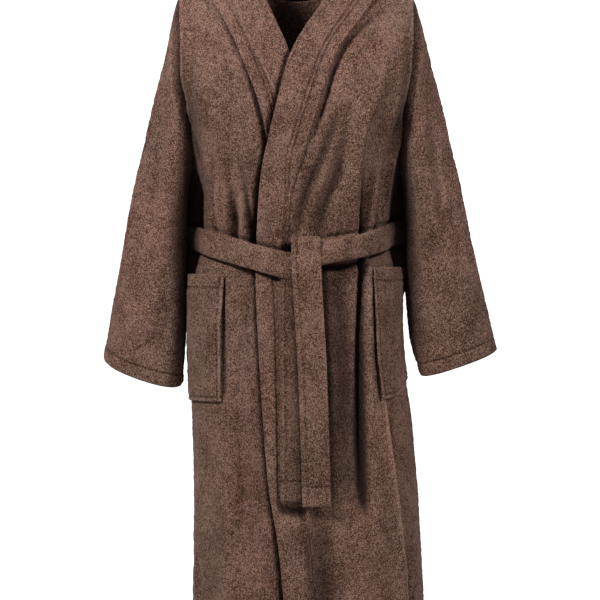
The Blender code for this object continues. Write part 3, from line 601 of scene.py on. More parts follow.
def terry_finish(name, shadow, loop, greyed):
    """Looped cotton terry: tufts in darker gaps, brushed patches, greyed lays and sewn lines.

    Fine noise and small round cells give the loops and broader noise the clumps they lie in; all
    raise the surface and lighten its colour, and slow noise turns patches of the nap grey. An
    attribute carries painted shade, which darkens the colour in hollows and shadows, and painted
    highlights, which lighten it on crests.
    """
    finish = Finish(name)
    place = finish.node("ShaderNodeTexCoord", {}, {}, output="Object")
    place = finish.node("ShaderNodeVectorMath", {"operation": "MULTIPLY"}, {0: place, 1: LONG_PILE})
    fuzz, tufts, clumps, brushed, lay = (
        finish.noise(place, *grain) for grain in (FUZZ, TUFTS, CLUMPS, BRUSHED, LAY))
    loops = finish.node("ShaderNodeTexVoronoi", {"feature": "F1"},
                        {"Vector": place, "Scale": LOOPS, "Randomness": 1.0}, output="Distance")
    lines = finish.node("ShaderNodeAttribute", {"attribute_name": "sewing"}, {}, output="Vector")
    lines = finish.node("ShaderNodeVectorMath", {"operation": "ABSOLUTE"}, {0: lines})
    first, second, third = (
        finish.node("ShaderNodeSeparateXYZ", {}, {0: lines}, output=number) for number in range(3))
    near = first.combine("MINIMUM", first.combine("MINIMUM", first, second), third)
    sewn = finish.carried(near, *STITCHED, "SMOOTHSTEP")
    # Painted shading from an attribute: painted shade above 0, painted highlight below 0
    painted_light_layer = finish.node("ShaderNodeAttribute", {"attribute_name": "painted_light_layer"}, {}, output="Fac")
    painted_highlight = painted_light_layer.combine("MAXIMUM", 0.0 - painted_light_layer, 0.0)
    light = (fuzz - 0.5) * 2.0 + (tufts - 0.5) * 1.4 - (loops - 0.45) * 0.4
    light = light + (clumps - 0.5) * 0.65 + (brushed - 0.5) * 0.9 + 0.47
    light = finish.node("ShaderNodeClamp", {}, {"Value": light - sewn * 0.24 + painted_highlight * 0.55})
    nap = finish.carried(lay, *GREYED)
    warm = finish.blend(light, (*shadow, 1), (*loop, 1))
    cool = finish.blend(light, (*[0.8 * channel for channel in shadow], 1), (*greyed, 1))
    worn = finish.blend(nap, warm, cool)
    height = fuzz * 0.6 + tufts * 0.8 + clumps * 0.7 - loops * 0.4 - sewn * 0.8
    raised = finish.node("ShaderNodeBump", {}, {"Strength": 1.0, "Distance": RELIEF, "Height": height})
    finish.look({"Base Color": finish.blend(painted_light_layer, worn, (*PAINTED_SHADE_COLOUR, 1)), "Normal": raised,
                 "Roughness": 0.92, "Specular IOR Level": 0.15, "Sheen Weight": 0.12,
                 "Sheen Roughness": 0.6, "Sheen Tint": (0.80, 0.66, 0.58, 1)})
    return finish.material


# Each finish's colours: between the loops, on them, and on them where the nap is greyed
FINISHES = {"terry": terry_finish("body_terry", (0.054, 0.022, 0.014), (0.270, 0.163, 0.127),
                                  (0.232, 0.155, 0.120))}

# The back panel: its stitched hem, the steps of its grid, and the painted shade on the fullness where
# it spills out at the sides
HEM_DEPTH = 0.021
BACK_HALF = 0.27
BACK_STEP = 0.0031
BACK_COLUMN_STEP = 0.0037
SPILL_FULL = 0.016
SPILL_SHADE = 0.85
JUST_INSIDE = 0.9999


def neck_level(x):
    """Level of the back's top edge: the neck's oval dip between the shoulder seams."""
    dip = NECK_DROP * np.sqrt(np.clip(1 - (x / NECK_HALF) ** 2, 0, 1))
    return np.where(np.abs(x) < NECK_HALF * JUST_INSIDE, level_at(x, NECK_Z - dip), 1.0)


def back_reach(side, level):
    """Degrees from the centre back to the side seam, or to the armhole's back edge above it."""
    seam = side_turn(side, level)
    lap = np.degrees(SEAM_LAP / extent("back", level))
    return np.where(level > 0, seam, 180 - seam) + lap


def back_turn(share, level):
    """Turn of each column of the back: its share of the way from the centre to the side."""
    return 180 - share * np.where(share > 0, back_reach(1, level), back_reach(-1, level))


def back_panel():
    """The back, whose top rows are lowered until they end on the neck's edge."""
    half = graded(BACK_HALF, BACK_COLUMN_STEP)[len(CLOSE_ROWS):]
    share = np.concatenate([-half[::-1], [0], half])[None, :]
    rim = np.ones_like(share)
    for _ in range(SETTLING):
        rim = neck_level(skin(back_turn(share, rim), rim)[..., 0])
    level = body_levels(BACK_STEP)
    level = np.where(level > 0, level * rim, level)
    turn = back_turn(share, level)
    base = skin(turn, level)
    start, end = run_of(base, 1)
    sink = sunk_seam(np.minimum(start, end)) * armhole_ease(level)
    # Painted shade on the fullness that spills out between the body and the sleeves
    spill = np.clip(fold_height(turn, base[..., 2], SIDE_SPILLS) / SPILL_FULL, 0, 1)
    return cloth("back_panel", on_robe(turn, level, sink), TERRY, -1, ["back_bodice", "back_skirt"],
                 [base[..., 2] - HEM_Z - HEM_DEPTH], painted_shading=SPILL_SHADE * spill)


back = back_panel()

# Fronts: the wearer's left one lies on top. Each is one width of terry from its free edge round
# to the side seam and up to the shoulder, doubled behind its edge. The top one stands off the
# one beneath it, which sinks into a hollow beside the top one's edge, darkened by painted shade.

# Each front's free edge: its width across at each height
LEFT_EDGE = Table("z x", [
    (0.02, 0.078), (-0.0456, 0.0411), (-0.1328, -0.0092), (-0.1764, -0.0217), (-0.2465, -0.0388),
    (-0.3321, -0.0544), (-0.4256, -0.0606), (-0.4832, -0.0622), (-0.6701, -0.0528),
    (-0.7993, -0.0427), (-0.9021, -0.0271), (-0.9862, -0.0193), (-1.18, -0.004)])
RIGHT_EDGE = Table("z x", [
    (0.02, -0.078), (-0.0456, -0.0473), (-0.1328, -0.0092), (-0.22, 0.032), (-0.3, 0.06),
    (-0.38, 0.076), (-0.45, 0.083), (-0.65, 0.085), (-1.18, 0.076)])
BAND_WIDTH = 0.047
TURNED_EDGE = (0.95 * BAND_WIDTH, 1.35 * BAND_WIDTH)
FRONT_WIDTH = 0.34
LAP = 0.0105
LAP_TURN = (33.0, 62.0)
LAP_Z = (-0.125, -0.050)
# The depths of a hollow over which its painted shade grows to full
HOLLOW_DEPTH = (0.0015, 0.0110)
LINES_END_Y = 0.03

# A painted highlight beside the armhole on each front: from which height it begins, how far in, how
# wide and how bright
SEAM_HIGHLIGHT_Z = (-0.26, -0.20)
ARMHOLE_HIGHLIGHT = (0.0045, 0.0024, 0.50)

# The part in the sleeve's shadow, by its share of the front and its heights, and how dark it is
SHADOW_SHARE = (0.66, 0.98)
SHADOW_FOOT_Z = (-0.60, -0.40)
SHADOW_HEAD_Z = (-0.24, -0.12)
SHADOW = 0.75

# The hollow in the under front along the top one's edge: how far outside it, how wide and deep; the
# hollow also gets painted shade
UNDER_EDGE = Table("z out width depth", [
    (-0.03, 0.001, 0.0035, 0.003), (-0.17, 0.0015, 0.004, 0.006), (-0.3, 0.002, 0.004, 0.008),
    (-0.345, 0.004, 0.0048, 0.014), (-0.43, 0.0048, 0.0052, 0.018), (-0.47, 0.002, 0.004, 0.01),
    (-0.7, 0.0015, 0.0038, 0.009), (-0.85, 0.0015, 0.0042, 0.01), (-1.18, 0.0015, 0.0036, 0.007)])


def drawn_down(*rows):
    """A line down the robe: height, width across, half width, and how far the cloth rises."""
    return Table("z x width height", rows)


def drawn_across(*rows):
    """A line across the robe: width across, height, half width, and how far the cloth rises."""
    return Table("x z width height", rows)


def line_height(place, lines):
    """How far drawn lines raise or sink the front: bell-shaped across each line."""
    total = np.zeros(place.shape[:-1])
    for line in lines:
        along, across = place[..., 2], place[..., 0]
        if line.names[0] == "x":
            along, across = across, along
        away = across - line.read(line.names[1], along)
        total = total + line.read("height", along) * bell(away, line.read("width", along))
    return np.where(place[..., 1] < LINES_END_Y, total, 0)


# Where the belt draws the cloth in, above itself and then below; these troughs also get painted shade,
# for the belt's shadow
BELT_LINES = [
    drawn_across(
        (-0.156, -0.4035, 0.0035, 0), (-0.146, -0.405, 0.0035, -0.0035),
        (-0.099, -0.4205, 0.0035, -0.004), (-0.0592, -0.4322, 0.0035, -0.005),
        (-0.023, -0.4425, 0.004, -0.006), (-0.015, -0.44, 0.007, -0.012),
        (-0.009, -0.44, 0.008, -0.013), (0, -0.445, 0.006, 0)),
    drawn_across(
        (0.025, -0.424, 0.0035, 0), (0.04, -0.4215, 0.0035, -0.0035),
        (0.0994, -0.41, 0.0035, -0.004), (0.1468, -0.396, 0.0035, -0.004),
        (0.156, -0.393, 0.0035, 0)),
    drawn_across(
        (-0.156, -0.444, 0.0045, 0), (-0.1477, -0.446, 0.0045, -0.0034),
        (-0.1161, -0.4585, 0.0045, -0.0036), (-0.065, -0.4715, 0.0045, -0.0046),
        (-0.0309, -0.485, 0.0045, -0.006), (-0.01, -0.488, 0.0045, 0)),
    drawn_across(
        (0.02, -0.465, 0.0055, 0), (0.035, -0.4655, 0.006, -0.008),
        (0.0653, -0.4675, 0.006, -0.009), (0.1009, -0.458, 0.0058, -0.008),
        (0.1443, -0.436, 0.005, -0.006), (0.156, -0.429, 0.005, 0))]

# Drawn lines on each front; their troughs also get painted shade
RIGHT_LINES = [
    # outside the collar
    drawn_down(
        (-0.05, -0.123, 0.005, 0), (-0.0773, -0.112, 0.005, -0.0055),
        (-0.116, -0.095, 0.0048, -0.0065), (-0.1424, -0.0832, 0.0045, -0.007),
        (-0.1811, -0.0696, 0.0042, -0.008), (-0.2168, -0.0602, 0.0042, -0.009),
        (-0.2586, -0.0512, 0.004, -0.0095), (-0.2819, -0.049, 0.0038, -0.007),
        (-0.3, -0.048, 0.0038, 0)),
    # the gathers above the belt
    drawn_down(
        (-0.23, -0.093, 0.009, 0), (-0.32, -0.084, 0.008, -0.0055),
        (-0.39, -0.0745, 0.006, -0.0095), (-0.44, -0.069, 0.0052, -0.0095),
        (-0.47, -0.068, 0.005, 0)),
    drawn_down(
        (-0.26, -0.111, 0.007, 0), (-0.33, -0.107, 0.006, -0.0045),
        (-0.3795, -0.1022, 0.005, -0.008), (-0.4214, -0.0991, 0.0044, -0.0095),
        (-0.45, -0.098, 0.0044, 0)),
    drawn_down(
        (-0.23, -0.137, 0.007, 0), (-0.32, -0.1345, 0.0058, -0.0052),
        (-0.4, -0.133, 0.0048, -0.0065), (-0.44, -0.132, 0.0045, 0)),
    drawn_down(
        (-0.33, -0.115, 0.006, 0), (-0.39, -0.112, 0.006, 0.0035), (-0.42, -0.11, 0.006, 0.0035),
        (-0.45, -0.11, 0.006, 0)),
    # beside the shoulder, where the chest turns under to the armhole
    drawn_down(
        (-0.05, -0.164, 0.006, 0), (-0.0974, -0.166, 0.0055, -0.003),
        (-0.2013, -0.166, 0.0055, -0.003), (-0.26, -0.156, 0.0055, 0)),
    # along the pocket's inner edge
    drawn_down(
        (-0.47, -0.1185, 0.0034, 0), (-0.482, -0.1182, 0.0034, -0.0065),
        (-0.66, -0.1145, 0.0034, -0.0065), (-0.678, -0.114, 0.0034, 0)),
    # down the skirt
    drawn_down(
        (-0.7, -0.086, 0.017, 0), (-0.8, -0.086, 0.017, -0.0035), (-0.95, -0.092, 0.018, 0))]
LEFT_LINES = [
    # beside the front tie's edge, the soft valley beyond it, and one under the tips
    drawn_down(
        (-0.46, 0.0385, 0.006, 0), (-0.49, 0.039, 0.006, -0.006), (-0.62, 0.045, 0.006, -0.006),
        (-0.72, 0.049, 0.006, -0.005), (-0.83, 0.0525, 0.006, -0.004), (-0.86, 0.053, 0.006, 0)),
    drawn_down(
        (-0.43, 0.066, 0.023, 0), (-0.49, 0.067, 0.025, -0.0062), (-0.65, 0.072, 0.027, -0.007),
        (-0.8, 0.079, 0.027, -0.0048), (-0.9, 0.085, 0.026, 0)),
    drawn_down(
        (-0.83, 0.036, 0.022, 0), (-0.89, 0.034, 0.027, -0.0064), (-0.99, 0.043, 0.03, -0.0074),
        (-1.15, 0.05, 0.03, 0)),
    drawn_across(
        (-0.033, -0.846, 0.011, 0), (-0.02, -0.845, 0.012, -0.0085),
        (0.006, -0.847, 0.012, -0.0085), (0.02, -0.85, 0.011, 0)),
    # outside the collar, and two creases that run down from it to the belt
    drawn_down(
        (-0.05, 0.15, 0.012, 0), (-0.0695, 0.128, 0.011, -0.0045), (-0.1191, 0.0785, 0.008, -0.007),
        (-0.1656, 0.0565, 0.0055, -0.008), (-0.209, 0.044, 0.0045, -0.0085),
        (-0.25, 0.0315, 0.0042, -0.0075), (-0.276, 0.024, 0.004, 0)),
    drawn_down(
        (-0.21, 0.066, 0.008, 0), (-0.256, 0.053, 0.0085, -0.0065),
        (-0.3206, 0.027, 0.0085, -0.008), (-0.364, 0.011, 0.008, -0.0075),
        (-0.4028, 0.002, 0.0075, -0.0065), (-0.45, -0.004, 0.007, 0)),
    drawn_down(
        (-0.24, 0.085, 0.011, 0), (-0.3098, 0.0637, 0.011, -0.006),
        (-0.364, 0.0451, 0.011, -0.0072), (-0.4136, 0.033, 0.01, -0.006), (-0.45, 0.03, 0.009, 0)),
    # the gathers above the belt at the side; the first goes on below it as a deep pleat
    drawn_down(
        (-0.23, 0.108, 0.007, 0), (-0.302, 0.1025, 0.006, -0.0035), (-0.3485, 0.1, 0.0044, -0.011),
        (-0.43, 0.0994, 0.004, -0.015), (-0.488, 0.099, 0.0042, -0.0185),
        (-0.5655, 0.0984, 0.0046, -0.0195), (-0.674, 0.0994, 0.0062, -0.019),
        (-0.7515, 0.1009, 0.0078, -0.015), (-0.829, 0.1045, 0.0085, -0.009),
        (-0.87, 0.1118, 0.007, 0)),
    drawn_down(
        (-0.25, 0.135, 0.007, 0), (-0.333, 0.129, 0.0055, -0.0045),
        (-0.3718, 0.1273, 0.0048, -0.008), (-0.41, 0.127, 0.0048, -0.008),
        (-0.44, 0.127, 0.0048, 0)),
    drawn_down(
        (-0.32, 0.1165, 0.006, 0), (-0.37, 0.114, 0.006, 0.004), (-0.41, 0.113, 0.006, 0.004),
        (-0.45, 0.112, 0.006, 0)),
    # beside the shoulder, where the chest is full
    drawn_down(
        (-0.06, 0.164, 0.007, 0), (-0.1005, 0.1625, 0.0065, 0.003), (-0.209, 0.153, 0.0065, 0.003),
        (-0.3, 0.14, 0.0065, 0)),
    # the lit ridge beside the pleat
    drawn_down(
        (-0.44, 0.11, 0.005, 0), (-0.47, 0.11, 0.005, 0.006), (-0.5655, 0.1105, 0.005, 0.005),
        (-0.68, 0.113, 0.006, 0)),
    # along the pocket's inner edge
    drawn_down(
        (-0.47, 0.117, 0.0034, 0), (-0.488, 0.1178, 0.0034, -0.005),
        (-0.544, 0.119, 0.0034, -0.005), (-0.66, 0.1268, 0.0034, -0.005),
        (-0.685, 0.129, 0.0034, 0)),
    # the sharp ridge that runs from the pocket's foot to the hem, and the trough behind it
    drawn_down(
        (-0.66, 0.134, 0.0032, 0), (-0.7, 0.137, 0.0032, 0.0035), (-0.823, 0.1505, 0.0032, 0.004),
        (-0.922, 0.1629, 0.0032, 0.004), (-0.982, 0.1753, 0.0032, 0.0035), (-1.1, 0.192, 0.0032, 0)),
    drawn_down(
        (-0.67, 0.1415, 0.004, 0), (-0.72, 0.1455, 0.004, -0.0055), (-0.823, 0.156, 0.004, -0.006),
        (-0.922, 0.1685, 0.004, -0.006), (-0.982, 0.181, 0.004, -0.005), (-1.1, 0.196, 0.004, 0))]

# Painted highlights on crests, drawn in the same way: the last measure is how bright the painted
# highlight is
RIGHT_HIGHLIGHTS = [
    drawn_down(
        (-0.27, -0.127, 0.0032, 0), (-0.32, -0.127, 0.0032, 0.35), (-0.39, -0.1265, 0.0032, 0.35),
        (-0.41, -0.126, 0.0032, 0)),
    drawn_down(
        (-0.29, -0.099, 0.0036, 0), (-0.34, -0.096, 0.0036, 0.35), (-0.4, -0.0895, 0.0036, 0.35),
        (-0.43, -0.087, 0.0036, 0))]
LEFT_HIGHLIGHTS = [
    drawn_down(
        (-0.66, 0.1335, 0.0016, 0), (-0.7, 0.1355, 0.0017, 1), (-0.767, 0.143, 0.0017, 1),
        (-0.86, 0.1535, 0.0018, 1), (-0.922, 0.161, 0.0019, 1), (-0.984, 0.173, 0.0019, 0.9),
        (-1.1, 0.192, 0.0018, 0)),
    drawn_across(
        (0.03, -0.209, 0.0013, 0), (0.045, -0.209, 0.0013, 0.4), (0.08, -0.2065, 0.0013, 0.5),
        (0.105, -0.204, 0.0013, 0)),
    drawn_down(
        (-0.45, 0.109, 0.003, 0), (-0.48, 0.109, 0.003, 0.35), (-0.65, 0.112, 0.003, 0.3),
        (-0.7, 0.115, 0.003, 0)),
    drawn_down(
        (-0.29, 0.1265, 0.003, 0), (-0.33, 0.1215, 0.003, 0.35), (-0.39, 0.119, 0.003, 0.35),
        (-0.41, 0.118, 0.003, 0))]


def lap_out(base, turn):
    """How far the top front stands out over the one beneath it."""
    return LAP * (1 - ease_step(*LAP_TURN, turn)) * (1 - ease_step(*LAP_Z, base[..., 2]))


def under_lap(base, turn):
    """How the under front sinks along the top one's edge: a trough beside it, on the front half."""
    z = base[..., 2]
    away = base[..., 0] - LEFT_EDGE.read("x", z) + UNDER_EDGE.read("out", z)
    trough = -UNDER_EDGE.read("depth", z) * bell(away, UNDER_EDGE.read("width", z))
    return np.where(np.cos(np.radians(turn)) > 0, trough, 0)


def painted_hollow_shade(height):
    """The share of painted shade in a hollow, by how far the cloth sinks there."""
    return 0.95 * ease_step(*HOLLOW_DEPTH, -height)


def edge_turn(edge, level):
    """Turn of a front edge at a level: its width and height are found together."""
    x = np.zeros_like(level)
    for _ in range(SETTLING):
        x = edge.read("x", skin(turn_at(x, level), level)[..., 2])
    return turn_at(x, level)


def doubled(share, double=DOUBLE):
    """Thickness of cloth that is one layer at 0 and turned double at 1."""
    return TERRY + (double - TERRY) * share


def front(name, side, edge, lift, lines, highlight_lines):
    """One front: from its free edge round to the side seam, and up to the shoulder seam."""
    level = body_levels()
    share = graded(FRONT_WIDTH)[None, :]
    start = edge_turn(edge, level)
    lap = np.degrees(SEAM_LAP / extent("front", level))
    turn = start + (side * (side_turn(side, level) + lap) - start) * share
    level = level + 0 * share
    base = skin(turn, level)
    z = base[..., 2]
    to_seam = run_of(base, 1)[1]
    from_edge = np.abs(base[..., 0] - base[:, :1, 0])
    turned = 1 - ease_step(*TURNED_EDGE, from_edge)
    lifted = lift(base, turn)
    drawn = line_height(base, lines + BELT_LINES) + np.minimum(lifted, 0)
    sink = sunk_seam(to_seam) * armhole_ease(level)
    outer = on_robe(turn, level, np.maximum(lifted, 0) + drawn + sink)
    shadow = ease_step(*SHADOW_SHARE, share) * ease_step(*SHADOW_FOOT_Z, z)
    shadow = shadow * (1 - ease_step(*SHADOW_HEAD_Z, z))
    inset, width, pale = ARMHOLE_HIGHLIGHT
    # Painted highlights: along the drawn crests and along the edge beside the armhole
    painted_highlight = line_height(base, highlight_lines) + pale * bell(to_seam - inset, width) * ease_step(*SEAM_HIGHLIGHT_Z, z)
    piece = cloth(f"{name}_panel", outer, doubled(turned), side, [f"{name}_bodice", f"{name}_skirt"],
                  [z - HEM_Z - HEM_DEPTH], painted_shading=np.maximum(painted_hollow_shade(drawn), SHADOW * shadow) - painted_highlight)
    return piece


front("front_left", 1, LEFT_EDGE, lap_out, LEFT_LINES, LEFT_HIGHLIGHTS)
front("front_right", -1, RIGHT_EDGE, under_lap, RIGHT_LINES, RIGHT_HIGHLIGHTS)

# Front band: a doubled strip along the top front's edge, from the collar's end to the hem. It is
# sewn down by two rows along its inner edge, which run up into the collar.
BAND_TOP_WIDTH = 0.0598
BAND_EVEN_Z = -0.3700
BAND_TOP_Z = -0.2806
BAND_OUT = 0.0042
BAND_RISE = 0.0004
BAND_THICK = 0.0040
BAND_SIZE = (0.05, 0.9)
STRIP_STEP = 0.0030
STRIP_ROWS = 0.0034

# Two rows of stitches, by their distance from the inner edge: on the band and on the collar
BAND_STITCHES = (0.0035, 0.0067)
COLLAR_STITCHES = (0.0185, 0.0255)
COLLAR_END = np.cos(np.radians(88.0)) ** (2 / CROWN)

# Its inner edge is drawn down on the front below the collar: within what width and up to which
# height, how far it sinks and how much thinner it is
SETTLED_WIDTH = 0.009
SETTLED_Z = -0.315
SETTLED_SINK = 0.0022
SETTLED_THIN = 0.0018

# The crease down the band, from the belt to below the tips of the ties; it also gets painted shade,
# for the shadow beside the back tie
BAND_LINES = [drawn_down(
    (-0.47, -0.0345, 0.0036, 0), (-0.488, -0.0335, 0.0036, -0.008),
    (-0.58, -0.0293, 0.0036, -0.0085), (-0.75, -0.0262, 0.0036, -0.008),
    (-0.829, -0.0255, 0.0036, -0.006), (-0.842, -0.025, 0.0036, 0))]


def band_rows(share):
    """Heights of the band's rows: from the hem up to the line on which the collar ends."""
    x = LEFT_EDGE.read("x", BAND_TOP_Z) + share * BAND_TOP_WIDTH
    top = UNDERARM_Z + COLLAR_END * (shoulder_z(x) - UNDERARM_Z)
    rows = graded(BAND_SIZE[1], STRIP_ROWS)
    rows = np.append(rows[rows < 0.994], 1.0)
    return HEM_Z + rows[:, None] * (top - HEM_Z)


def front_band():
    """The band, which widens towards the collar; its stitches run on as the collar's."""
    share = graded(BAND_SIZE[0], STRIP_STEP)[None, :]
    z = band_rows(share)
    rising = ease_step(BAND_EVEN_Z, BAND_TOP_Z, z)
    width = BAND_WIDTH + (BAND_TOP_WIDTH - BAND_WIDTH) * rising
    x = LEFT_EDGE.read("x", z) + share * width
    level = level_at(x, z)
    turn = turn_at(x, level)
    base = skin(turn, level)
    inside = (1 - share) * width
    settled = (1 - ease_step(0, SETTLED_WIDTH, inside)) * (1 - ease_step(SETTLED_Z, BAND_TOP_Z, z))
    lift = BAND_OUT + BAND_RISE * rising + lap_out(base, turn) - SETTLED_SINK * settled
    drawn = line_height(base, LEFT_LINES + BAND_LINES + BELT_LINES)
    stitches = [inside - low - (high - low) * rising
                for low, high in zip(BAND_STITCHES, COLLAR_STITCHES)]
    return cloth("front_band", on_robe(turn, level, lift + drawn), BAND_THICK - SETTLED_THIN * settled,
                 1, ["band_left"], [*stitches, z - HEM_Z - HEM_DEPTH],
                 free=("foot", "start", "end"), painted_shading=painted_hollow_shade(drawn))


band = front_band()

# Sleeves: each is one piece set into the armhole and closed by a seam under the arm. It hangs
# with soft creases round the elbow, and its cuff is turned up and stitched 2 cm from the edge.
RIGHT_SLEEVE = Table("along outer_x outer_z inner_x inner_z depth y dip", [
    (0.00, 0.1950, -0.030, 0.1680, -0.300, 0.066, 0.000, 0.000),
    (0.08, 0.2000, -0.062, 0.1710, -0.325, 0.066, 0.000, 0.000),
    (0.20, 0.2100, -0.125, 0.1755, -0.360, 0.064, 0.000, 0.000),
    (0.40, 0.2385, -0.240, 0.1775, -0.430, 0.060, 0.000, 0.000),
    (0.60, 0.2670, -0.365, 0.1780, -0.505, 0.055, -0.002, 0.003),
    (0.80, 0.2890, -0.488, 0.1795, -0.580, 0.050, -0.004, 0.009),
    (1.00, 0.3100, -0.611, 0.1840, -0.653, 0.046, -0.006, 0.015)])
LEFT_SLEEVE = Table("along outer_x outer_z inner_x inner_z depth y dip", [
    (0.00, 0.1910, -0.030, 0.1660, -0.300, 0.066, 0.000, 0.000),
    (0.08, 0.1990, -0.065, 0.1690, -0.325, 0.066, 0.000, 0.000),
    (0.20, 0.2095, -0.125, 0.1735, -0.360, 0.064, 0.000, 0.000),
    (0.40, 0.2370, -0.237, 0.1755, -0.430, 0.060, 0.000, 0.000),
    (0.60, 0.2660, -0.358, 0.1770, -0.505, 0.055, -0.002, 0.001),
    (0.80, 0.2930, -0.478, 0.1810, -0.575, 0.050, -0.004, 0.003),
    (1.00, 0.3200, -0.599, 0.1990, -0.640, 0.046, -0.006, 0.006)])
CUFF_HEM = 0.965
CUFF_STEP = 0.0008
CUFF_DEPTH = 0.021
SLEEVE_LENGTH = 0.62
SLEEVE_STEP = 0.0030
SLEEVE_COLUMNS = 156
SLEEVE_TUCK = 0.0035

# The seam under the arm: where it lies round the sleeve, and the run of one degree
ARM_SEAM = 186
DEGREE_RUN = 0.0013

# The armhole seam: how far the sleeve sinks to it and over what width, its painted shade wide and
# close and from which heights, and a painted highlight beside it: how far out, how wide and how bright
SLEEVE_SINK = 0.0060
SLEEVE_SINK_WIDTH = 0.009
SEAM_SHADE = (0.50, 0.0130)
SEAM_GAP = (0.42, 0.0045)
SEAM_Z = (-0.32, -0.26)
SLEEVE_SEAM_HIGHLIGHT = (0.0150, 0.0028, 0.45)

# Painted shade on the side that faces the body, by degrees and by share of the length, and how dark it
# is
INNER_SIDE = (112, 162)
INNER_END = (0.72, 0.98)
INNER_SHADE = 0.85

# Folds: degrees round the sleeve (0 outside, 90 in front), from and to along it, width, height
SLEEVE_FOLDS = [
    (103, 0.16, 96, 0.62, 16.0, 0.0060),
    (140, 0.22, 132, 0.70, 16.0, -0.0060),
    (62, 0.26, 74, 0.60, 14.0, -0.0045),
    (24, 0.10, 30, 0.86, 16.0, 0.0020),
    (82, 0.58, 60, 0.96, 16.0, 0.0045),
    (118, 0.66, 104, 0.95, 14.0, -0.0045),
    (228, 0.18, 236, 0.72, 18.0, -0.0065),
    (262, 0.20, 268, 0.86, 18.0, 0.0060),
    (300, 0.30, 292, 0.80, 16.0, -0.0050),
    (204, 0.30, 210, 0.90, 14.0, 0.0040)]
SLEEVE_CREASES = [
    (128, 0.20, 120, 0.62, 6.0, -0.0030),
    (84, 0.20, 86, 0.58, 6.0, 0.0025),
    (46, 0.42, 62, 0.78, 6.0, -0.0025),
    (96, 0.56, 70, 0.84, 6.0, -0.0030),
    (14, 0.02, 16, 0.90, 5.0, -0.0030),
    (26, 0.02, 27, 0.86, 4.5, 0.0030),
    (250, 0.22, 256, 0.70, 7.0, -0.0030),
    (282, 0.40, 280, 0.82, 7.0, 0.0025)]


def armhole_ring(side, angle):
    """The armhole's edge on the body, by degrees round the sleeve: 0 on top, 90 in front.

    The sleeve's edge is tucked in a little behind the body's.
    """
    level = (1 + np.cos(np.radians(angle))) / 2
    cut = side_turn(side, np.maximum(level, 1e-9))
    turn = np.where(np.sin(np.radians(angle)) >= 0, side * cut, 180 - side * cut)
    return on_robe(turn, level) - np.array([side * SLEEVE_TUCK, 0, 0])


def seam_pull(angle):
    """The armhole seam's pull round the sleeve: none under the arm, and less right on top."""
    upper = np.cos(np.radians(angle))
    return ease_step(-0.6, 0.1, upper) * (1 - 0.6 * ease_step(0.75, 0.98, upper))


def sleeve_skin(side, table, angle, along):
    """Smooth sleeve: ovals between its two outlines, grown out of the armhole's edge."""
    across = squared(np.cos(np.radians(angle)))
    depth = squared(np.sin(np.radians(angle)))
    outer_x, outer_z, inner_x, inner_z, reach, y, dip = (
        table.read(name, along) for name in table.names[1:])
    x = side * ((outer_x + inner_x) / 2 + (outer_x - inner_x) / 2 * across)
    z = (outer_z + inner_z) / 2 + (outer_z - inner_z) / 2 * across - dip * depth
    ring = np.stack([x, y - reach * depth, z], axis=-1)
    grown = ease_step(0, 0.2, along)[..., None]
    return armhole_ring(side, angle) * (1 - grown) + ring * grown


def sleeve(name, side, table):
    """One sleeve: a tube from armhole to cuff, its hem turned up."""
    angle = np.linspace(0, 360, SLEEVE_COLUMNS, endpoint=False)[None, :]
    angle, along = np.broadcast_arrays(angle, graded(SLEEVE_LENGTH, SLEEVE_STEP)[:, None])
    base = sleeve_skin(side, table, angle, along)
    around = sleeve_skin(side, table, angle + 1, along) - sleeve_skin(side, table, angle - 1, along)
    ahead = sleeve_skin(side, table, angle, np.minimum(along + 0.01, 1))
    down = ahead - sleeve_skin(side, table, angle, np.maximum(along - 0.01, 0))
    out = unit(np.cross(around, down)) * side
    z = base[..., 2]
    hem = ease_step(CUFF_HEM - 0.004, CUFF_HEM + 0.004, along)
    cut = ARMHOLE.read("left" if side > 0 else "right", level_at(base[..., 0], z))
    from_seam = np.maximum(side * base[..., 0] - cut, 0)
    rise = CUFF_STEP * hem + slack(base) * ease_step(0, 0.1, along)
    rise = rise + fold_height(angle, along, SLEEVE_FOLDS + SLEEVE_CREASES)
    rise = rise - SLEEVE_SINK * bell(from_seam, SLEEVE_SINK_WIDTH) * seam_pull(angle)
    outer = base + out * rise[..., None]
    # Painted shade on the side that faces the body and along the armhole seam
    inner = ease_step(*INNER_SIDE, 180 - np.abs(angle - 180)) * (1 - ease_step(*INNER_END, along))
    seam = sum(share * bell(from_seam, width) for share, width in (SEAM_SHADE, SEAM_GAP))
    painted_shading = np.maximum(INNER_SHADE * inner, seam * ease_step(*SEAM_Z, z))
    # A painted highlight beside the armhole seam, on the front
    inset, width, pale = SLEEVE_SEAM_HIGHLIGHT
    painted_highlight = pale * bell(from_seam - inset, width) * ease_step(*SEAM_HIGHLIGHT_Z, z)
    painted_highlight = painted_highlight * ease_step(-0.2, 0.4, np.sin(np.radians(angle)))
    piece = cloth(f"{name}_tube", outer, doubled(hem), side, [name],
                  [run_of(outer, 0)[1] - CUFF_DEPTH, (angle - ARM_SEAM) * DEGREE_RUN],
                  tube=True, painted_shading=painted_shading - painted_highlight)
    return piece


sleeve("sleeve_left", 1, LEFT_SLEEVE)
sleeve("sleeve_right", -1, RIGHT_SLEEVE)

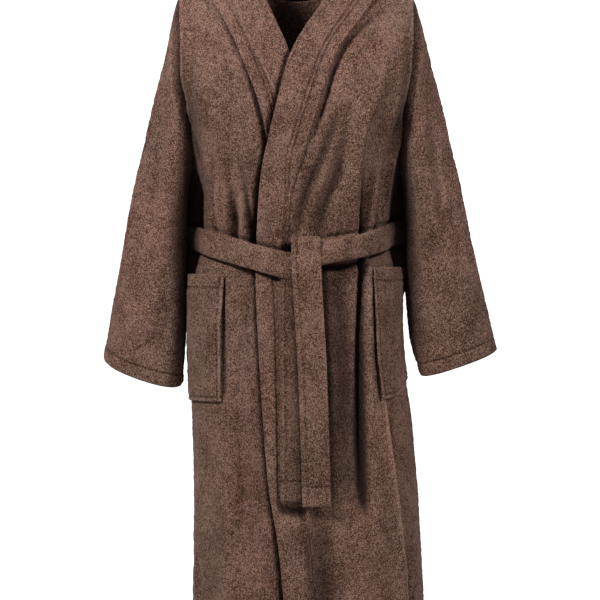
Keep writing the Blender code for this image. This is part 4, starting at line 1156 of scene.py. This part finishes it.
# Hood and collar: two mirrored halves, sewn together up the middle and to the neck. They roll
# over outwards and lie on the shoulders and chest as a collar, and behind as a folded pouch.
# Each is placed by a width and an angle over the shoulder (back 90, shoulder 0, front -90), from
# the centre back (0) over the shoulder (0.38 at the neck) to its end on the chest (1).
HOOD_BEHIND = [
    (0.00, 0.0000, 36.6, 0.0000, 89.0),
    (0.10, 0.0330, 34.2, 0.0620, 87.0),
    (0.20, 0.0580, 28.0, 0.1050, 77.0)]
LEFT_HOOD = Table("along seam_x seam_bow edge_x edge_bow", HOOD_BEHIND + [
    (0.30, 0.0740, 16.0, 0.1340, 53.0),
    (0.38, 0.0780, 0.0, 0.1460, 26.0),
    (0.46, 0.0710, -14.0, 0.1440, -3.0),
    (0.54, 0.0570, -29.0, 0.1300, -28.0),
    (0.62, 0.0411, -42.7, 0.1010, -46.5),
    (0.75, -0.0080, -62.9, 0.0620, -62.0),
    (0.90, -0.0310, -77.5, 0.0340, -77.5),
    (1.00, -0.0453, -88.0, 0.0145, -88.0)])
RIGHT_HOOD = Table("along seam_x seam_bow edge_x edge_bow", HOOD_BEHIND + [
    (0.30, 0.0740, 16.0, 0.1360, 53.0),
    (0.38, 0.0780, 0.0, 0.1510, 26.0),
    (0.46, 0.0720, -14.0, 0.1520, -3.0),
    (0.54, 0.0600, -29.0, 0.1440, -27.0),
    (0.62, 0.0473, -42.7, 0.1200, -43.0),
    (0.75, 0.0080, -63.5, 0.0860, -62.5),
    (0.90, -0.0290, -77.5, 0.0580, -77.5),
    (1.00, -0.0480, -88.0, 0.0440, -86.5)])

# How the hood stands at the neck, rolls over and lies, by the same place along it; and its brim:
# how far it turns up, in degrees, round which radius, and how deep it is
HOOD_FORM = Table("along base stand roll upright lay bend radius brim", [
    (0.00, 0.0009, 0.078, 0.0135, 0.80, 0.0060, 172, 0.0125, 0.205),
    (0.10, 0.0009, 0.074, 0.0135, 0.80, 0.0060, 172, 0.0125, 0.190),
    (0.20, 0.0009, 0.060, 0.0130, 0.75, 0.0062, 171, 0.0110, 0.125),
    (0.30, 0.0012, 0.041, 0.0120, 0.60, 0.0070, 169, 0.0085, 0.040),
    (0.38, 0.0012, 0.031, 0.0110, 0.45, 0.0078, 152, 0.0060, 0.009),
    (0.42, 0.0012, 0.029, 0.0105, 0.40, 0.0077, 104, 0.0042, 0.003),
    (0.46, 0.0012, 0.026, 0.0100, 0.35, 0.0076, 44, 0.0040, 0.004),
    (0.54, 0.0024, 0.020, 0.0080, 0.22, 0.0066, 8, 0.0050, 0.010),
    (0.62, 0.0038, 0.012, 0.0055, 0.10, 0.0056, 0, 0.0050, 0.012),
    (0.75, 0.0042, 0.005, 0.0025, 0.00, 0.0048, 0, 0.0050, 0.012),
    (1.00, 0.0044, 0.0045, 0.0010, 0.00, 0.0046, 0, 0.0050, 0.012)])

# A painted highlight along the crest of the right half of the collar
RIGHT_COLLAR_HIGHLIGHT = [drawn_down(
    (-0.054, -0.096, 0.002, 0.6), (-0.0773, -0.0875, 0.002, 1), (-0.139, -0.0603, 0.002, 1),
    (-0.1935, -0.0345, 0.002, 0.6), (-0.215, -0.028, 0.002, 0))]
HOOD_STATIONS = 180
STATIONS_SHIFT = 0.10
HOOD_ACROSS = 52
BRIM_ACROSS = 40
COLLAR_THICK = 0.0038
COLLAR_FROM = (0.50, 0.64)
UPRIGHT_WIDTH = 0.05
CENTRE_SEAM = (0.65, 0.0026)


def shoulder_place(x, bow):
    """Turn and level of a place by its width and its angle over the shoulder, front below 0."""
    rise = np.cos(np.radians(bow))
    level = np.where(rise > 0, np.abs(rise) ** (2 / CROWN), rise * low_level(shoulder_z(x)))
    turn = turn_at(x, level)
    return np.where(bow > 0, 180 - turn, turn), level


def soften(points, rounds=5):
    """Round a row of control points off by cutting its corners, keeping both ends."""
    for _ in range(rounds):
        cut = np.empty((2 * len(points), 2))
        cut[0] = points[0]
        cut[1:-1:2] = points[:-1] * 0.75 + points[1:] * 0.25
        cut[2::2] = points[:-1] * 0.25 + points[1:] * 0.75
        cut[-1] = points[-1]
        points = cut
    return points


def spaced(points, shares):
    """Places at these shares of the length of a row of points."""
    run = np.append(0, np.cumsum(np.linalg.norm(np.diff(points, axis=0), axis=1)))
    even = shares * run[-1]
    return np.stack([np.interp(even, run, points[:, 0]), np.interp(even, run, points[:, 1])], axis=-1)


def hood_profile(form, length):
    """The hood's section, as distance out from the neck and height off the robe.

    It stands up, rolls over and lies down, then its brim goes on round an arc and out straight.
    """
    base, stand, roll, lay = form["base"], form["stand"], form["roll"], form["lay"]
    bend, radius, brim = np.radians(form["bend"]), form["radius"], form["brim"]
    reach = radius * np.sin(min(bend, np.pi / 2)) + brim * max(np.cos(bend), 0)
    hinge = length - reach
    lying = soften(np.array([
        (0, base),
        (-0.10 * (stand - base), base + 0.5 * (stand - base)),
        (0, stand),
        (roll, stand + 0.5 * roll),
        (2.2 * roll, 0.8 * stand + 0.2 * lay),
        (2.4 * roll + 0.5 * stand, lay + 0.15 * stand),
        (0.45 * length + roll + 0.2 * stand, lay),
        (hinge, lay)]))
    around = np.linspace(0, bend, 40)
    arc = np.stack([hinge + radius * np.sin(around), lay + radius * (1 - np.cos(around))], axis=-1)
    tip = arc[-1] + brim * np.array([np.cos(bend), np.sin(bend)])
    fine = 1 - CLOSE_ROWS[2::-1] / (brim + bend * radius + 1e-6)
    shares = np.append(np.linspace(0, fine[0] - 0.02, BRIM_ACROSS), fine)
    turned = spaced(np.append(arc, [tip], axis=0), shares)
    return np.append(spaced(lying, np.linspace(0, 1, HOOD_ACROSS)), turned[1:], axis=0).T


def hood(name, side, table, lift, highlight_lines=()):
    """One hood half with its collar: sewn round the neck, lying over shoulder, back and chest.

    It is drawn section by section along its neck seam, closer together behind.
    """
    even = np.linspace(0, 1, HOOD_STATIONS)
    stations = even - STATIONS_SHIFT * np.sin(2 * np.pi * even) * (1 - even)
    rows = []
    for along in stations:
        seam_x, seam, edge_x, edge = (table.read(key, along) for key in table.names[1:])
        seam_x, edge_x = side * seam_x, side * edge_x
        form = {key: float(HOOD_FORM.read(key, along)) for key in HOOD_FORM.names[1:]}
        ends = skin(*shoulder_place(np.array([seam_x, edge_x]), np.array([seam, edge])))
        length = np.linalg.norm(ends[1] - ends[0])
        distance, height = hood_profile(form, length)
        share = distance / length
        turn, level = shoulder_place(seam_x + (edge_x - seam_x) * share, seam + (edge - seam) * share)
        upright = (form["upright"] * bell(np.maximum(distance, 0), UPRIGHT_WIDTH))[:, None]
        away = unit(outward(turn, level) * (1 - upright) + np.array([0, 0, 1]) * upright)
        base = skin(turn, level)
        folds = fold_height(turn, base[:, 2], FOLDS + SIDE_SPILLS) + slack(base)
        rows.append(base + away * (height + lift(base, turn) + folds)[:, None])
    outer = np.array(rows)
    outer[0, :, 0] = -side * SEAM_LAP
    to_rim = run_of(outer, 1)[1]
    collar = ease_step(*COLLAR_FROM, stations)[:, None]
    centre = CENTRE_SEAM[0] * bell(run_of(outer, 0)[0], CENTRE_SEAM[1])
    # Darker along the centre seam, and painted highlights along the collar's crests
    piece = cloth(f"{name}_half", outer, doubled(collar, COLLAR_THICK), -side, [name],
                  [to_rim - depth for depth in COLLAR_STITCHES],
                  free=EDGES if side < 0 else ("foot", "start", "end"),
                  painted_shading=centre - line_height(outer, highlight_lines))
    return piece


hood("hood_left", 1, LEFT_HOOD, lap_out)
hood("hood_right", -1, RIGHT_HOOD, under_lap, RIGHT_COLLAR_HIGHLIGHT)

# Pockets: a patch of terry on each front, sewn down on three sides with a row of stitches a
# finger's breadth inside its edges. The mouth stands a little open.
POCKET_EDGE = 100.0
POCKET_GAPE = 0.0095
POCKET_EASE = 0.0018
POCKET_SWEEP = 1.8
POCKET_SIZE = (0.16, 0.206)

# Stitches by their distance from the inner edge, the foot and the mouth, and painted highlights
# along the first two edges: how far in they lie, how wide they are and how bright
POCKET_STITCHES = (0.0065, 0.0070, 0.0220)
POCKET_HIGHLIGHTS = ((0.0035, 0.0020, 0.55), (0.0030, 0.0020, 0.45))


def pocket(name, side, inner_turn, top_z, foot_z, sweep):
    """One patch pocket: its foot rises round the side, and its mouth stands a little open."""
    across = graded(POCKET_SIZE[0], STRIP_STEP)[None, :]
    up = graded(POCKET_SIZE[1], STRIP_STEP)[:, None]
    turn = side * (inner_turn + (POCKET_EDGE - inner_turn) * across) + 0 * up
    foot_line = foot_z + sweep * across ** POCKET_SWEEP
    level = low_level(foot_line + (top_z - foot_line) * up)
    gape = POCKET_GAPE * np.sin(np.pi * across) ** 0.8 * up ** 1.5
    lift = lap_out(skin(turn, level), turn) if side > 0 else 0
    outer = on_robe(turn, level, POCKET_EASE + TERRY + gape + lift)
    start = run_of(outer, 1)[0]
    foot, head = run_of(outer, 0)
    # Painted highlights along the inner edge and the foot
    inner_highlight, foot_highlight = (pale * bell(run - inset, width) for run, (inset, width, pale)
                             in zip((start, foot), POCKET_HIGHLIGHTS))
    stitches = [run - depth for run, depth in zip((start, foot, head), POCKET_STITCHES)]
    piece = cloth(f"{name}_patch", outer, TERRY, side, [name], stitches,
                  painted_shading=-np.maximum(inner_highlight, foot_highlight))
    return piece


pocket("pocket_left", 1, 43.2, -0.469, -0.675, 0.055)
pocket("pocket_right", -1, 40.5, -0.479, -0.679, 0.0)

# Belt: a doubled strip of the same terry, wound once round the waist and tied at the front. One
# end comes over the wrap and hangs in front, the other hangs behind it.
BELT_THICK = 0.0040
BELT_LOFT = 0.0025
BELT_WIDTH = 0.0435
BELT_ENDS = (7, -360)
BELT_ROWS = 300
BELT_ROUND = 0.0036
TIE_WIDTH = 0.0425
TIE_ROUND = 0.0016
TUCK_GAP = 0.0005
BELT_UNEVEN = [(0.0009, (0.045, 0.045, 0.011), 0)]
TIE_UNEVEN = [(0.0011, (0.016, 0.050, 0.120), 0)]

# Painted shade on the belt where it passes behind the sleeves, by its width across from its middle and
# by its y, and how dark it is
BELT_LIT_X = (0.138, 0.150)
BELT_LIT_Y = (-0.02, 0.04)
BELT_MIDDLE = -0.003
BELT_SHADE = 0.9

# The belt's middle line round the waist and each tie's down the front, with its distance out
BELT_COURSE = Table("turn z out", [
    (8, -0.4735, 0.0246), (-2, -0.469, 0.0246), (-13, -0.46, 0.0238), (-26, -0.449, 0.0165),
    (-40, -0.44, 0.0095), (-60, -0.431, 0.0066), (-90, -0.4214, 0.0062), (-180, -0.408, 0.0066),
    (-270, -0.411, 0.0064), (-300, -0.423, 0.0085), (-320, -0.4326, 0.018), (-345, -0.4455, 0.0285),
    (-360, -0.456, 0.029)])
FRONT_TIE = Table("z x out", [
    (-0.4265, 0.0125, 0.0348), (-0.48, 0.0142, 0.0348), (-0.54, 0.0175, 0.0305),
    (-0.62, 0.0222, 0.0268), (-0.72, 0.026, 0.025), (-0.839, 0.0295, 0.0248)])
BACK_TIE = Table("z x out", [
    (-0.472, -0.003, 0.0194), (-0.55, -0.0045, 0.0196), (-0.7, -0.0035, 0.0198),
    (-0.831, -0.003, 0.0198)])
TIE_LOOP_Z = -0.4285
TIE_TUCK_Z = -0.4640

# A tie's stitches from its edge and tip, and painted highlights along its edges: share of the width
# and half width, and how bright
TIE_STITCHES = (0.0085, 0.0310)
TIE_LIT_EDGES = ((-0.36, 0.045), (0.47, 0.040))
TIE_HIGHLIGHT = 0.45

# How far below the neck a tie begins to curl, and the painted highlights on its edges to begin
TIE_CURL_DROP = (0.44, 0.50)
TIE_HIGHLIGHT_DROP = (0.47, 0.50)
FINISHES["belt_terry"] = terry_finish("belt_terry", (0.052, 0.021, 0.013), (0.264, 0.160, 0.124),
                                      (0.226, 0.151, 0.117))


def belt_wrap():
    """The belt round the waist: its two ends cross behind the tie end that hangs in front."""
    turn = np.linspace(*BELT_ENDS, BELT_ROWS)[:, None]
    share = graded(BELT_WIDTH, STRIP_STEP)[None, :] - 0.5
    z = BELT_COURSE.read("z", turn) + share * BELT_WIDTH
    level = low_level(z)
    turn = turn + 0 * share
    base = skin(turn, level)
    rise = BELT_COURSE.read("out", turn) + fold_height(turn, z, SIDE_SPILLS)
    rise = rise + layered(base, BELT_UNEVEN) + BELT_ROUND * (1 - 4 * share ** 2)
    outer = base + outward(turn, level) * rise[..., None]
    # Painted shade where the belt passes behind the sleeves
    away = ease_step(*BELT_LIT_X, np.abs(base[..., 0] - BELT_MIDDLE))
    away = away * (1 - ease_step(*BELT_LIT_Y, base[..., 1]))
    return cloth("waist_belt", outer, BELT_THICK + BELT_LOFT, 1, ["belt_wrap"], slot="belt_terry",
                 painted_shading=BELT_SHADE * away)


def tie_path():
    """The hanging tie from its tuck behind the belt, over the belt and down: height, distance."""
    loop_out = FRONT_TIE.read("out", TIE_LOOP_Z)
    tuck_out = LAP + BAND_OUT + TUCK_GAP
    middle = (loop_out + tuck_out) / 2
    radius = (loop_out - tuck_out) / 2
    bend = np.radians(np.linspace(0, 180, 30))
    loop = np.stack([TIE_LOOP_Z + radius * np.sin(bend), middle - radius * np.cos(bend)], axis=-1)
    tuck_z = np.linspace(TIE_TUCK_Z, TIE_LOOP_Z, 12)[:-1]
    tuck = np.stack([tuck_z, tuck_out + 0 * tuck_z], axis=-1)
    drop = TIE_LOOP_Z - FRONT_TIE.rows[0, 0]
    z = TIE_LOOP_Z - graded(drop, STRIP_ROWS)[len(CLOSE_ROWS) - 1:] * drop
    return np.concatenate([tuck, loop, np.stack([z, FRONT_TIE.read("out", z)], axis=-1)])


def straight_path(table):
    """A tie that hangs from its table's top to its foot: height, distance."""
    top = table.rows[-1, 0]
    drop = top - table.rows[0, 0]
    z = top - graded(drop, STRIP_ROWS) * drop
    return np.stack([z, table.read("out", z)], axis=-1)


def tie_end(name, node, path, table, shade=0.0):
    """A tie end as a flat strip along a path of heights and distances out.

    Shade is how dark the painted shadow is where the other end lies over it, at the strip's later
    edge.
    """
    z = path[:, :1]
    share = graded(TIE_WIDTH, STRIP_STEP)[None, :] - 0.5
    x = table.read("x", z) + share * TIE_WIDTH
    level = low_level(z) + 0 * share
    turn = turn_at(x, level)
    base = skin(turn, level)
    curl = layered(base, TIE_UNEVEN) * ease_step(*TIE_CURL_DROP, -z) + TIE_ROUND * (1 - 4 * share ** 2)
    outer = on_robe(turn, level, path[:, 1:] + curl, [])
    from_edge = (share + 0.5) * TIE_WIDTH + 0 * z
    to_tip = run_of(outer, 0)[1]
    # Painted highlights along both edges, below the belt
    lit_edges = sum(bell(share - at, width) for at, width in TIE_LIT_EDGES)
    shaded = shade * (0.3 + 0.7 * ease_step(-0.2, 0.45, share))
    return cloth(name, outer, BELT_THICK, -1, [node],
                 [from_edge - TIE_STITCHES[0], to_tip - TIE_STITCHES[1]], slot="belt_terry",
                 painted_shading=shaded - TIE_HIGHLIGHT * lit_edges * ease_step(*TIE_HIGHLIGHT_DROP, -z))


wrap = belt_wrap()
front_tie = tie_end("front_tie", "belt_end_front", tie_path(), FRONT_TIE)
back_tie = tie_end("back_tie", "belt_end_back", straight_path(BACK_TIE), BACK_TIE, 0.75)

# Studio: a pale floor, a bright backdrop sky behind the robe, and soft lights from the front.
FLOOR_Z = -1.42
LIGHTS_AIM = (0, 0, -0.4)
LIGHTS_SIZE = 0.6


def slab(name, half, z, colour):
    """The floor, as a plane whose corners are rounded off in plan."""
    corner = np.linspace(0, 2 * np.pi, 96, endpoint=False)
    plan = [half * squared(np.cos(corner), 0.5), half * squared(np.sin(corner), 0.5)]
    rim = np.stack([*plan, 0 * corner + z], axis=-1)
    mesh = bpy.data.meshes.new(name)
    mesh.from_pydata(rim.tolist(), [], [list(range(len(rim)))])
    paint = Finish(name)
    paint.look({"Base Color": (*colour, 1), "Roughness": 0.6})
    mesh.materials.append(paint.material)
    placed(name, mesh)


def soft_light(name, place, power):
    """A square soft box that faces the robe."""
    lamp = bpy.data.lights.new(name, "AREA")
    lamp.shape = "SQUARE"
    lamp.size = LIGHTS_SIZE
    lamp.energy = power
    box = placed(name, lamp)
    box.location = place
    away = np.array(place) - np.array(LIGHTS_AIM)
    flat_run = np.hypot(away[0], away[1])
    box.rotation_euler = (np.arctan2(flat_run, away[2]), 0, np.arctan2(away[0], -away[1]))


slab("studio_floor", 2.4, FLOOR_Z, (0.62, 0.62, 0.62))
soft_light("left_light", (-1.55, -1.8, 1.3), 79)
soft_light("right_light", (2.1, -1.6, 1.25), 47)

world = bpy.data.worlds.new("studio")
world.use_nodes = True
bpy.context.scene.world = world
sky = world.node_tree
direction = sky.nodes.new("ShaderNodeTexCoord")
axes = sky.nodes.new("ShaderNodeSeparateXYZ")
behind = sky.nodes.new("ShaderNodeMapRange")
behind.interpolation_type = "SMOOTHSTEP"
for socket, value in (("From Min", 0.55), ("From Max", 0.90), ("To Min", 0.19), ("To Max", 1.05)):
    behind.inputs[socket].default_value = value
sky.links.new(direction.outputs["Generated"], axes.inputs[0])
sky.links.new(axes.outputs[1], behind.inputs["Value"])
sky.links.new(behind.outputs["Result"], sky.nodes["Background"].inputs["Strength"])
sky.nodes["Background"].inputs["Color"].default_value = (1, 1, 1, 1)

# Camera: level, on the robe's middle at the photograph's height, through a long lens.
lens = bpy.data.cameras.new("camera")
lens.lens = 119.0
lens.sensor_width = 36.0
camera = placed("camera", lens)
camera.location = (0.0048, -3.2, -0.519)
camera.rotation_euler = (np.pi / 2, 0, 0)
bpy.context.scene.camera = camera
bpy.context.scene.view_settings.view_transform = "Standard"
bpy.context.scene.view_settings.look = "Medium High Contrast"
